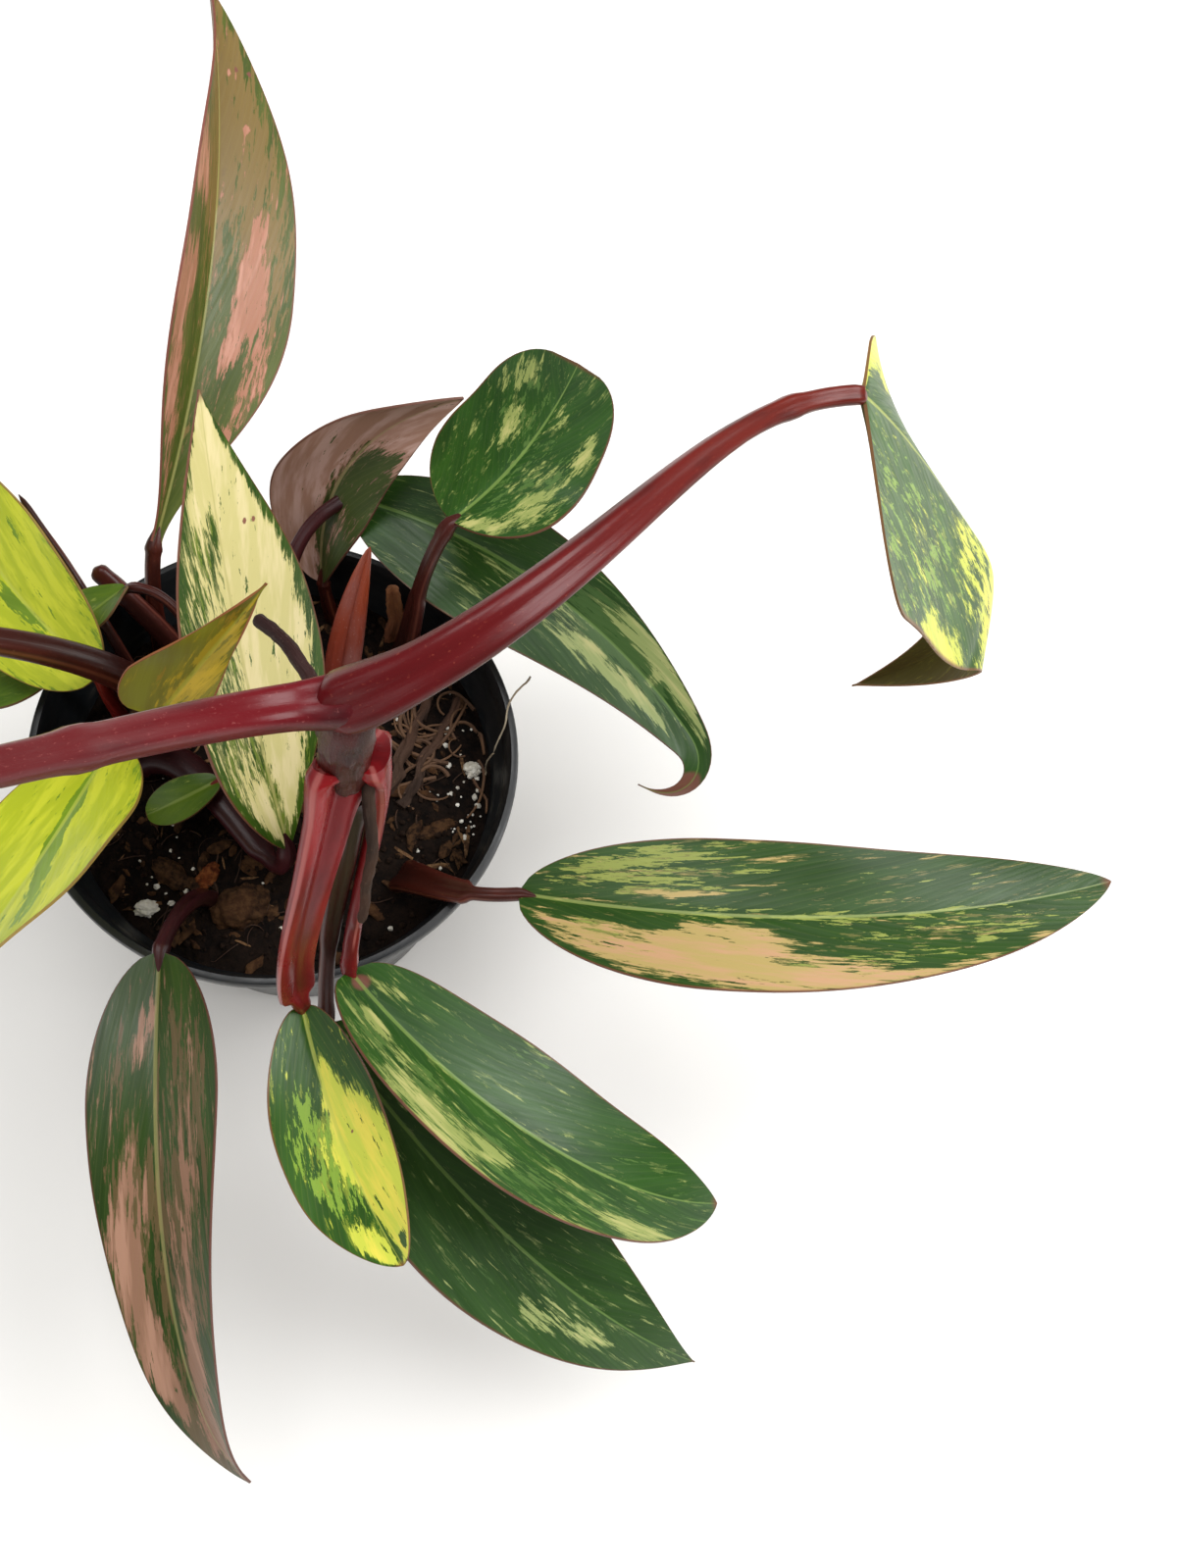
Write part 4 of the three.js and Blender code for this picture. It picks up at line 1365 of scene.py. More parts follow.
LEAVES: list[Leaf] = [
    Leaf("tall_back", SALMON_TAN, (-34, 49, 108), 74, 28, 144, 43,
         stalk((-36, 34, 78), (-36, 37, 89), (-36, 41, 100), 2.6, 1.9, RUST_STALK, "petiole_red"),
         [pale(0.16, 0.6, 0.15, 0.4, 0.9), pale(0.3, 0.75, 0.1, 0.3, 0.8),
          pale(0.43, 0.72, 0.09, 0.4, 1.15), pale(0.63, 0.78, 0.1, 0.35, 1.15),
          pale(0.3, -0.78, 0.2, 0.2, 1.0, 0.1), pale(0.5, -0.52, 0.15, 0.2, 1.05, -0.25),
          pale(0.37, -0.38, 0.14, 0.14, 0.8, -0.2), pale(0.6, 0.2, 0.1, 0.4, 0.55),
          blush(0.95, 0.0, 0.2, 1.4, 1.0), blush(0.72, 0.3, 0.22, 0.7, 0.7),
          blush(0.3, 0.2, 0.35, 0.5, 0.6), blush(0.68, -0.4, 0.22, 0.7, 0.75),
          blush(0.4, -0.7, 0.3, 0.4, 0.7), pale(0.75, -0.45, 0.008, 0.05, 3.0),
          pale(0.85, -0.28, 0.007, 0.05, 3.0), bronze(0.86, -0.5, 0.006, 0.06, 1.0),
          bronze(0.86, -0.78, 0.008, 0.06, 1.0), dark(0.53, 0.62, 0.03, 0.4, 1.1, 0.03),
          dark(0.24, 0.2, 0.12, 0.16, 0.9), dark(0.35, -0.15, 0.14, 0.1, 0.9),
          dark(0.72, 0.4, 0.1, 0.4, 0.95)],
         roll=46, droop=30, swerve=2, twist=27, fold=33, widest=0.46, round=1.7, shoulder=2.0,
         point=0.87),
    Leaf("cream", CREAM_GREEN, (4, -25, 94), 110, 61, 110, 42,
         stalk((-36, 0, 80), (-21, 8, 90), (5, -43, 81), 3.4, 2.2, DARK_STALK, "petiole_brown",
               1.5),
         [pale(0.6, -0.44, 0.52, 0.46, 2.0), pale(0.5, 0.5, 0.55, 0.65, 0.85),
          pale(0.93, 0.4, 0.15, 0.7, 1.1), pale(0.12, 0.4, 0.12, 0.3, 0.9),
          pale(0.15, -0.35, 0.16, 0.25, 0.9), blush(0.4, 0.4, 0.6, 0.7, 0.95),
          blush(0.12, -0.5, 0.2, 0.6, 0.8), dark(0.45, -0.9, 0.3, 0.12, 1.1),
          dark(0.22, -0.65, 0.15, 0.25, 0.9), dark(0.33, 0.15, 0.22, 0.16, 0.95),
          dark(0.5, 0.7, 0.3, 0.25, 0.85), bronze(0.753, -0.46, 0.007, 0.045, 1.0),
          bronze(0.752, -0.66, 0.007, 0.045, 1.0)],
         roll=50, droop=9, swerve=-20, twist=-20, fold=5, widest=0.43, round=0.9, shoulder=1.7,
         point=1.15, lean=-0.15),
    Leaf("pink_back", DUSTY_ROSE, (6, 50, 93), 97, 54, 74, 28,
         stalk((9, 46, 78), (8, 47, 83), (7, 48, 88), 2.4, 1.7, RUST_STALK, "petiole_red"),
         [pale(0.4, 0.62, 0.7, 0.6, 1.8), pale(0.88, -0.1, 0.26, 1.3, 1.7),
          pale(0.22, -0.42, 0.18, 0.14, 1.0), pale(0.5, -0.95, 0.4, 0.1, 0.7),
          blush(0.3, -0.8, 0.3, 0.2, 0.5), dark(0.42, -0.3, 0.14, 0.25, 0.5)],
         roll=-48, droop=-4, swerve=-78, twist=62, fold=24, widest=0.37, round=0.74, shoulder=1.54,
         point=0.85, lean=0.09),
    Leaf("arching_back", DEEP_GREEN, (14, 62, 116), -15, 6, 136, 33,
         stalk((0, 34, 78), (-4, 37, 92), (-5, 52, 115), 2.6, 1.8, DARK_STALK, "petiole_brown"),
         [pale(0.6, 0.6, 0.1, 0.3, 1.25, 0.1), pale(0.69, 0.8, 0.12, 0.2, 1.1),
          pale(0.76, 0.5, 0.1, 0.4, 0.85), pale(0.59, -0.42, 0.12, 0.22, 1.1, -0.2),
          pale(0.73, -0.55, 0.12, 0.35, 0.75), pale(0.32, -0.5, 0.22, 0.4, 0.62),
          pale(0.42, -0.05, 0.22, 0.14, 0.65), pale(0.67, 0.14, 0.016, 0.3, 1.0),
          blush(0.35, 0.0, 0.4, 0.9, 0.7), blush(0.65, 0.3, 0.2, 0.6, 0.85),
          dark(0.74, 0.12, 0.05, 0.22, 1.5, -0.08), bronze(0.96, 0.0, 0.1, 2.0, 1.0)],
         roll=24, droop=8, swerve=-51, twist=-7, curl=15, hook=-139, curl_from=0.78, fold=10,
         widest=0.3, round=0.63, shoulder=1.7, point=1.4, lean=-0.19, wave=0.9),
    Leaf("round_back", GREEN_LIME, (39, 43, 139), 40, 5, 48, 43,
         stalk((27, 33, 78), (33, 36, 97), (29, 30, 125), 3.2, 1.8, BROWN_STALK, "petiole_brown",
               1.3, groove=0.5, sheath_end=0.6),
         [pale(0.67, -0.76, 0.12, 0.16, 1.1, 0.1), pale(0.57, 0.32, 0.12, 0.16, 0.8, 0.28),
          pale(0.86, 0.7, 0.12, 0.3, 0.72), pale(0.05, -0.5, 0.1, 0.55, 0.85),
          pale(0.22, -0.72, 0.2, 0.3, 0.75), pale(0.42, -0.4, 0.2, 0.5, 0.64),
          pale(0.72, -0.18, 0.12, 0.2, 0.7), pale(0.95, -0.4, 0.1, 0.6, 0.6),
          pale(0.6, 0.6, 0.3, 0.4, 0.5), blush(0.35, -0.4, 0.4, 0.6, 0.8),
          blush(0.7, 0.4, 0.3, 0.5, 0.7)],
         roll=-21, droop=-40, swerve=10, twist=19, fold=-3, widest=0.34, round=0.69, shoulder=1.8,
         point=0.31, lean=0.1),
    Leaf("hanging_right", YELLOW_GREEN, (121.9, 48.8, 189.6), 26.2, -45.1, 164, 59.8,
         stalk((23, -34, 204), (60, -33, 238), (86, 45, 187), 4.4, 2.1, RED_STALK, "petiole_red",
               1.1, 1.15, sheath_end=0.86, joint_at=0.84, groove=0.34),
         [pale(0.0, 1.0, 0.12, 0.6, 2.0), pale(0.56, -0.2, 0.2, 0.5, 1.0),
          pale(0.42, -1.0, 0.16, 0.2, 1.5), pale(0.68, -0.6, 0.08, 0.6, 1.0),
          pale(0.27, -0.6, 0.12, 0.3, 0.62), pale(0.12, 0.55, 0.04, 0.25, 0.8),
          blush(0.2, -0.6, 0.4, 0.6, 0.75), dark(0.6, -0.6, 0.03, 0.35, 1.1, 0.06),
          dark(0.66, -0.5, 0.025, 0.5, 1.0, 0.1), dark(0.52, -0.15, 0.03, 0.25, 0.95)],
         roll=29, droop=-0.4, swerve=-44.7, twist=-63.2, curl=132.2, curl_from=0.51, hook=46.4,
         fold=3.3, fold_tip=-42.6, widest=0.16, round=0.2, shoulder=2.71, point=1.14, lean=-0.416,
         lobe=-5.5),
    Leaf("long_right", GREEN_SALMON, (60.5, -37, 103), -13, 19, 150, 38,
         stalk((32, -27, 78), (36, -30, 90), (44, -40, 105), 2.8, 1.7, RUST_STALK, "petiole_brown",
               1.75, sheath_end=0.72, joint_at=0.7, groove=0.55),
         [pale(0.17, -0.6, 0.15, 0.4, 1.15), pale(0.33, -0.42, 0.1, 0.42, 1.25),
          pale(0.43, -0.86, 0.15, 0.26, 1.2), pale(0.68, -0.45, 0.28, 0.32, 0.62),
          pale(0.72, -0.95, 0.24, 0.1, 0.95), pale(0.2, 0.65, 0.18, 0.4, 0.55),
          pale(0.24, 0.22, 0.1, 0.1, 0.85, 0.3), blush(0.68, -0.5, 0.3, 0.45, 0.8),
          blush(0.2, 0.6, 0.22, 0.5, 0.95), blush(0.14, -0.45, 0.06, 0.25, 1.3),
          blush(0.5, 0.0, 0.35, 0.15, 0.75), dark(0.2, -0.2, 0.09, 0.18, 1.3, -0.14),
          dark(0.3, -0.9, 0.08, 0.08, 1.1), dark(0.03, -0.5, 0.04, 0.4, 0.9),
          bronze(0.505, 0.56, 0.004, 0.03, 1.0)],
         roll=-6, droop=24, swerve=31, twist=11, fold=12, widest=0.31, round=0.64, shoulder=2.0,
         point=0.77, lean=-0.04),
    Leaf("front_right", GREEN_LIME, (22, -59, 112), -50, 12, 115, 33,
         stalk((27, -36, 186), (31, -34, 160), (22, -48, 134), 3.0, 1.9, CRIMSON_SHEATH,
               "petiole_rose", 1.3, 1.25, groove=0.8, sheath_end=0.78, trough=3.3),
         [pale(0.16, -0.62, 0.2, 0.5, 0.72), pale(0.11, -0.35, 0.04, 0.12, 1.0),
          pale(0.34, -0.75, 0.14, 0.3, 0.72), pale(0.43, -0.6, 0.04, 0.14, 0.7),
          pale(0.61, -0.5, 0.13, 0.32, 0.75, -0.12), pale(0.6, -0.97, 0.4, 0.07, 0.9),
          pale(0.76, -0.75, 0.1, 0.2, 0.85), pale(0.08, 0.4, 0.06, 0.26, 1.0, 0.12),
          blush(0.4, -0.6, 0.5, 0.55, 0.95), blush(0.08, 0.2, 0.1, 0.5, 0.5),
          bronze(0.03, 0.0, 0.03, 0.5, 0.6)],
         roll=-25, droop=36, swerve=63, twist=5, fold=13, widest=0.4, round=0.49, shoulder=2.3,
         point=0.81, lean=0.02),
    Leaf("front_lower", DEEP_GREEN, (17, -69, 97), -52, -11, 149, 42,
         stalk((22, -39, 168), (21, -46, 144), (15, -49, 116), 2.8, 1.8, BROWN_STALK,
               "petiole_brown", 1.2, 1.2),
         [pale(0.565, -0.6, 0.05, 0.2, 0.62), pale(0.7, -0.5, 0.06, 0.2, 0.6),
          pale(0.75, 0.6, 0.09, 0.3, 0.62), pale(0.9, 0.05, 0.06, 0.35, 0.6),
          pale(0.64, -0.4, 0.14, 0.45, 0.55), blush(0.62, -0.4, 0.3, 0.6, 0.6)],
         roll=-12, droop=28, swerve=33, twist=-6, fold=13, widest=0.38, round=0.6, shoulder=1.77,
         point=1.2),
    Leaf("oval_front", YELLOW_GREEN, (12, -67, 111), -74, -8, 62, 26,
         stalk((21, -39, 184), (16, -57, 159), (10, -65, 144), 3.6, 1.9, CRIMSON_SHEATH,
               "petiole_rose", 1.5, 1.2, groove=0.95, sheath_end=0.92, trough=4.3),
         [pale(0.66, 0.55, 0.34, 0.62, 2.4, 0.16), pale(0.4, 0.12, 0.24, 0.16, 1.7),
          pale(0.9, -0.45, 0.12, 0.45, 1.2), pale(0.56, -0.5, 0.27, 0.42, 0.58, -0.12),
          blush(0.5, -0.45, 0.3, 0.5, 1.1), blush(0.55, 0.1, 0.3, 0.3, 0.7),
          dark(0.9, 0.7, 0.05, 0.25, 1.4), dark(0.75, 0.24, 0.07, 0.1, 1.2, 0.25),
          dark(0.94, 0.1, 0.04, 0.35, 1.0), dark(0.86, -0.25, 0.08, 0.12, 1.0, -0.3),
          dark(0.88, -0.92, 0.1, 0.12, 1.2), dark(0.18, -0.4, 0.14, 0.5, 0.7),
          dark(0.3, -0.9, 0.2, 0.15, 1.1), bronze(0.47, 0.25, 0.008, 0.035, 1.0)],
         roll=-3, droop=17, swerve=16, twist=25, fold=22, widest=0.48, round=0.65, shoulder=1.95,
         point=0.7, lean=-0.06),
    Leaf("front_left", ROSE_BROWN, (-21, -55, 105), -86, 2, 145, 29,
         stalk((-16, -35, 78), (-17, -36, 90), (-20, -44, 101), 2.6, 1.8, DARK_STALK,
               "petiole_brown"),
         [pale(0.12, -0.25, 0.06, 0.24, 1.2, -0.12), pale(0.38, -0.45, 0.12, 0.42, 0.95, -0.16),
          pale(0.56, -0.75, 0.18, 0.35, 1.1), pale(0.66, -0.5, 0.12, 0.3, 1.0),
          pale(0.25, 0.6, 0.2, 0.4, 0.75, 0.15), pale(0.5, 0.35, 0.18, 0.35, 0.85, 0.1),
          pale(0.74, 0.35, 0.16, 0.4, 1.0), pale(0.88, 0.0, 0.14, 1.5, 0.8),
          blush(0.35, 0.5, 0.4, 0.6, 0.95), blush(0.9, 0.0, 0.22, 1.5, 1.1),
          blush(0.45, -0.5, 0.45, 0.6, 0.85), dark(0.68, -0.25, 0.13, 0.16, 1.0),
          dark(0.5, 0.75, 0.3, 0.2, 0.9)],
         roll=-3, droop=65, swerve=5, twist=31, fold=23, widest=0.22, round=0.65, shoulder=1.52,
         point=0.95, lean=0.05),
    Leaf("olive_small", OLIVE_GOLD, (-18, -16, 150), 42, 37, 36, 18,
         stalk((-30, 5, 86), (-29, 0, 108), (-26, -16, 138), 1.9, 1.4, RED_STALK, "petiole_red"),
         [pale(0.5, -0.3, 0.6, 0.75, 1.3), dark(0.32, 0.65, 0.3, 0.28, 1.3),
          blush(0.8, 0.3, 0.3, 0.8, 0.9)],
         roll=27, droop=9, twist=9, fold=23, widest=0.2, round=0.45, shoulder=1.1, point=1.3,
         lean=0.17, lobe=3, rows=48, columns=20),
    Leaf("spoon", PLAIN_GREEN, (-15, -8, 92), 212, -5, 21, 11,
         stalk((-11, -4, 78), (-10, -4, 84), (-11, -6, 91), 1.2, 0.9, RED_STALK, "petiole_red"),
         [pale(0.85, 0.0, 0.2, 0.8, 0.5)],
         roll=6, droop=33, swerve=-17, twist=-15, fold=5, widest=0.51, round=0.67, point=0.53,
         wave=0, rows=40, columns=16),
    Leaf("lime_left", LIME, (-42, 10, 111), 142, 3, 88, 35,
         stalk((-37, 6, 82), (-41, 8, 92), (-42, 9, 103), 2.2, 1.6, RED_STALK, "petiole_red"),
         [pale(0.5, 0.0, 1.0, 1.4, 1.6), blush(0.5, 0.0, 1.0, 1.4, 1.0),
          dark(0.27, 0.12, 0.16, 0.14, 1.5), dark(0.43, -0.6, 0.08, 0.12, 1.0),
          dark(0.7, 0.4, 0.22, 0.4, 0.95)],
         roll=-31, droop=26, swerve=-21, twist=-10, fold=11, round=0.55),
    Leaf("small_left", PLAIN_GREEN, (-55, 16, 100), 177, -5, 35, 24,
         stalk((-41, 17, 78), (-43, 17, 90), (-47, 17, 98), 1.5, 1.1, BROWN_STALK, "petiole_red"),
         [pale(0.6, 0.4, 0.3, 0.4, 0.5)],
         roll=8, droop=26, swerve=14, twist=-13, fold=7, round=0.53, wave=0.3, rows=48, columns=20),
    Leaf("yellow_left", LIME, (-35, -11, 118), -100, 26, 82, 34,
         stalk((-35, 3, 86), (-37, 1, 98), (-35, -6, 112), 2.0, 1.5, RED_STALK, "petiole_red"),
         [pale(0.5, 0.0, 1.0, 1.4, 1.6), blush(0.4, 0.2, 0.5, 0.6, 1.0),
          dark(0.25, 0.0, 0.2, 0.12, 1.6, 0.5), dark(0.5, 0.2, 0.15, 0.24, 1.5, 0.35),
          dark(0.68, 0.5, 0.09, 0.16, 1.2, 0.3)],
         roll=11, droop=-11, swerve=4, twist=31, fold=7, widest=0.42, round=0.54),
    Leaf("back_left_small", PLAIN_GREEN, (-39, 35, 110), 228, 3, 17, 13.5,
         stalk((-20, 22, 78), (-21, 22, 90), (-23, 34, 114), 2.0, 1.3, BROWN_STALK, "petiole_red"),
         [pale(0.5, 0.0, 0.5, 0.5, 0.4)],
         roll=44, droop=9, swerve=-6, twist=-47, fold=14, widest=0.5, round=0.64, point=0.58,
         wave=0, rows=40, columns=16),
    Leaf("high_left", GREEN_LIME, (-38, -78, 262), 196, 12, 128, 36,
         stalk((23, -34, 204), (-5, -35, 196), (-10, -72, 262), 3.8, 2.1, ROSE_STALK,
               "petiole_rose", 1.1, 1.15, joint_at=0.52),
         [pale(0.3, 0.5, 0.2, 0.4, 0.75), pale(0.6, -0.5, 0.22, 0.4, 0.8),
          pale(0.8, 0.4, 0.15, 0.4, 0.6), pale(0.2, -0.6, 0.15, 0.3, 0.5),
          blush(0.5, 0.0, 0.5, 1.0, 0.4)],
         roll=-8, droop=48, swerve=14, twist=12, fold=10),
    Leaf("far_left", GREEN_SALMON, (-96, -14, 164), 190, 8, 118, 34,
         stalk((-32, 11, 84), (-27, 13, 117), (-66, 2, 158), 4.4, 2.2, RUST_STALK, "petiole_brown",
               1.2, 1.1),
         [pale(0.35, -0.5, 0.2, 0.4, 0.9), pale(0.65, 0.5, 0.2, 0.35, 0.7),
          blush(0.5, 0.0, 0.5, 1.0, 0.42), pale(0.15, 0.6, 0.1, 0.3, 0.5)],
         roll=6, droop=52, swerve=-12, twist=-10, fold=12),
]


# ------------------------------------------------------- stems and spikes


@dataclass
class Stem:
    """An upright stem through level rings (x, y, z, radius in millimetres), with knobby nodes."""

    name: str
    slot: str
    finish: StalkFinish
    rings: Sequence[Sequence[float]]
    knobs: Sequence[tuple[float, float]] = ()
    sides: int = 40
    rows: int = 150

    ROUGH, FINE = 0.35, 0.16  # height of the bark's relief, in millimetres
    KNOB_HEIGHT = 1.6

    def section(self, share: float) -> tuple[Vector, float]:
        """Give the centre and radius at a share of the height, smoothed between rings.

        Args:
            share: Share of the height.

        Returns:
            Both in metres.
        """
        place = share * (len(self.rings) - 1)
        low = min(int(place), len(self.rings) - 2)
        part = place - low
        near = [self.rings[min(max(low + k, 0), len(self.rings) - 1)] for k in (-1, 0, 1, 2)]
        values = []
        for a, b, c, d in zip(*near):
            start, end = (c - a) / 2, (d - b) / 2
            values.append(b + start * part + (3 * (c - b) - 2 * start - end) * part ** 2
                          + (2 * (b - c) + start + end) * part ** 3)
        return mm(values[:3]), values[3] * MM

    def place(self, round_share: float, share: float) -> Vector:
        """Give a point of the stem's surface.

        Args:
            round_share: Share round the stem.
            share: Share of the height.

        Returns:
            The point in metres.
        """
        centre, radius = self.section(share)
        angle = FULL_TURN * round_share
        out = Vector((math.cos(angle), math.sin(angle), 0.0))
        rough = noise.noise(Vector((out.x * 1.6, out.y * 1.6, centre.z * 90))) * self.ROUGH
        fine = noise.noise(Vector((out.x * 5, out.y * 5, centre.z * 400))) * self.FINE
        ridge = 0.0
        for height, amount in self.knobs:
            bulge = math.exp(-((centre.z / MM - height) / self.KNOB_HEIGHT) ** 2)
            bud = max(noise.noise(Vector((out.x * 3.2, out.y * 3.2, height))), 0.0)
            ridge += bulge * amount * (0.35 + 1.9 * bud)
        return centre + out * (radius + (rough + fine + ridge) * MM)

    def build(self, finishes: Finishes) -> None:
        """Build and dress the stem.

        Args:
            finishes: The shelf of materials.
        """
        height = (self.rings[-1][2] - self.rings[0][2]) * MM
        girth = FULL_TURN * self.rings[1][3] * MM
        stem = rolled_tube(f"fine_{self.name}", self.sides, self.rows, self.place, girth, height)
        finish_piece(stem, [finishes.plain(self.finish)], self.slot, [self.name])


@dataclass
class Spike:
    """A cataphyll, cut stub, dried sheath or root: a tapering, crooked tube, in millimetres."""

    name: str
    slot: str
    finish: StalkFinish
    handles: Sequence[Sequence[float]]
    thick: tuple[float, float]
    groove: float = 0.0
    crooked: float = 0.0
    node: bool = True
    sides: int = 18
    rings: int = 44
    belly: float = 0.0

    TIP_FROM = 0.94  # share along where the rounded tip starts
    WANDER = 2.2
    SINK = 5.0  # how far a root end runs on down into the soil, in millimetres

    def place(self, round_share: float, share: float) -> Vector:
        """Give a point of the surface.

        Args:
            round_share: Share round the tube, with the groove in the middle.
            share: Share along.

        Returns:
            The point in metres.
        """
        handles = [mm(p) for p in self.handles]
        centre = bezier(handles, share)
        tangent = bezier_tangent(handles, share)
        up = Vector((0.0, -1.0, 1.0))
        up = (up - tangent * up.dot(tangent)).normalized()
        side = tangent.cross(up)
        radius = self.thick[0] + (self.thick[1] - self.thick[0]) * share
        radius += self.belly * math.sin(math.pi * share ** 0.8)
        if share > self.TIP_FROM:
            radius *= math.sqrt(max(1 - ((share - self.TIP_FROM) / (1 - self.TIP_FROM)) ** 2, 0.02))
        angle = FULL_TURN * (round_share - 0.5)
        wander = Vector([noise.noise(centre * 130 + UP * lift) for lift in (0, 7, 19)])
        ring = Vector((math.cos(angle) * 2, math.sin(angle) * 2, share * 14))
        knob = 1 + self.crooked * 0.5 * noise.noise(ring)
        dip = (1 - self.groove * math.exp(-(angle / 0.5) ** 2)) * knob
        centre = centre + wander * (self.crooked * self.WANDER * MM * math.sin(math.pi * share))
        if share == 0 and self.handles[0][2] < SOIL_REACH:
            centre = centre - UP * (self.SINK * MM)
        return centre + (up * math.cos(angle) + side * math.sin(angle)) * (radius * dip * MM)

    def build(self, finishes: Finishes) -> None:
        """Build and dress the piece.

        Args:
            finishes: The shelf of materials.
        """
        handles = [mm(p) for p in self.handles]
        length = (handles[3] - handles[0]).length
        tube = rolled_tube(f"fine_{self.name}", self.sides, self.rings, self.place,
                           FULL_TURN * self.thick[0] * MM, length)
        nodes = [self.name] if self.node else []
        finish_piece(tube, [finishes.plain(self.finish)], self.slot, nodes)


STEMS: list[Stem] = [
    Stem("main_stem", "stem_bark", STEM,
         [(12, -12, 52, 4.2), (14, -18, 74, 4.6), (15.5, -22, 92, 4.4), (17, -26, 112, 4.5),
          (18, -29, 130, 4.4), (19, -32, 148, 4.5), (20.5, -35, 164, 4.5), (21, -36.5, 173, 4.7),
          (21.5, -37, 178, 4.3), (22, -37, 186, 4.4), (22.5, -36.5, 193, 4.5),
          (23, -35.5, 199, 4.5), (23.5, -34.5, 203, 3.4), (24, -34, 206, 1.2)],
         [(92, 0.5), (130, 0.5), (166, 0.9), (173, 0.8), (181, 0.5), (187, 0.6), (194, 0.5)]),
    Stem("side_shoot", "stem_bark", STEM,
         [(-31, 7, 56, 4.4), (-32, 7, 74, 5.2), (-32.5, 7, 82, 5.6), (-33, 7, 88, 4.8),
          (-33, 7, 93, 1.6)],
         [(82, 0.8), (88, 0.6)]),
]

SPIKES: list[Spike] = [
    Spike("cataphyll", "young_sheath", BUD,
          [(12, 23, 78), (13, 30, 94), (17, 40, 112), (20, 43, 124)], (4.2, 0.4), 0.6, belly=1.7),
    Spike("dry_sheath", "dry_husk", HUSK, [(26, 42, 78), (26, 44, 86), (26, 46, 92), (25, 47, 98)],
          (3.0, 1.6), 0.5, 0.4),
    Spike("stub_thick", "petiole_brown", BROWN_STALK,
          [(-29, 30, 78), (-31, 31, 90), (-40, 36, 102), (-48, 41, 107)], (3.2, 2.4), 0.2, 0.1),
    Spike("stub_thin", "petiole_brown", BROWN_STALK,
          [(-41, 24, 78), (-41, 24, 96), (-50, 36, 106), (-68, 59, 109)], (1.8, 0.8), 0.2, 0.15),
    Spike("aerial_root_back", "root", AERIAL,
          [(19, -31, 191), (15, -24, 195), (11, -17, 191), (5, -13, 190)], (1.35, 1.25), 0.0, 0.35),
    Spike("aerial_root_front", "root", ROOT,
          [(26, -39, 181), (27, -48, 174), (27, -52, 162), (25, -57, 150)], (1.2, 0.9), 0.0, 0.6),
    Spike("surface_root_long", "root", ROOT,
          [(22, -12, 77), (30, 0, 81), (32, 18, 80), (38, 31, 77)], (1.9, 1.3), 0.0, 1.3),
    Spike("surface_root_short", "root", ROOT,
          [(30, -8, 77), (37, 2, 80), (40, 14, 80), (45, 26, 77)], (1.5, 1.1), 0.0, 1.3),
    Spike("root_hair_rim", "root", HAIR, [(62, 21, 103), (60, 18, 101), (56, 10, 99), (54, 5, 88)],
          (0.3, 0.22), 0.0, 1.2, False, 8, 40),
    Spike("root_hair_wall", "root", HAIR, [(54, 5, 88), (53.5, 3, 85), (54, 4, 82), (52.5, 2, 78)],
          (0.28, 0.2), 0.0, 1.2, False, 8, 30),
]


# ---------------------------------------------------------------- the pot


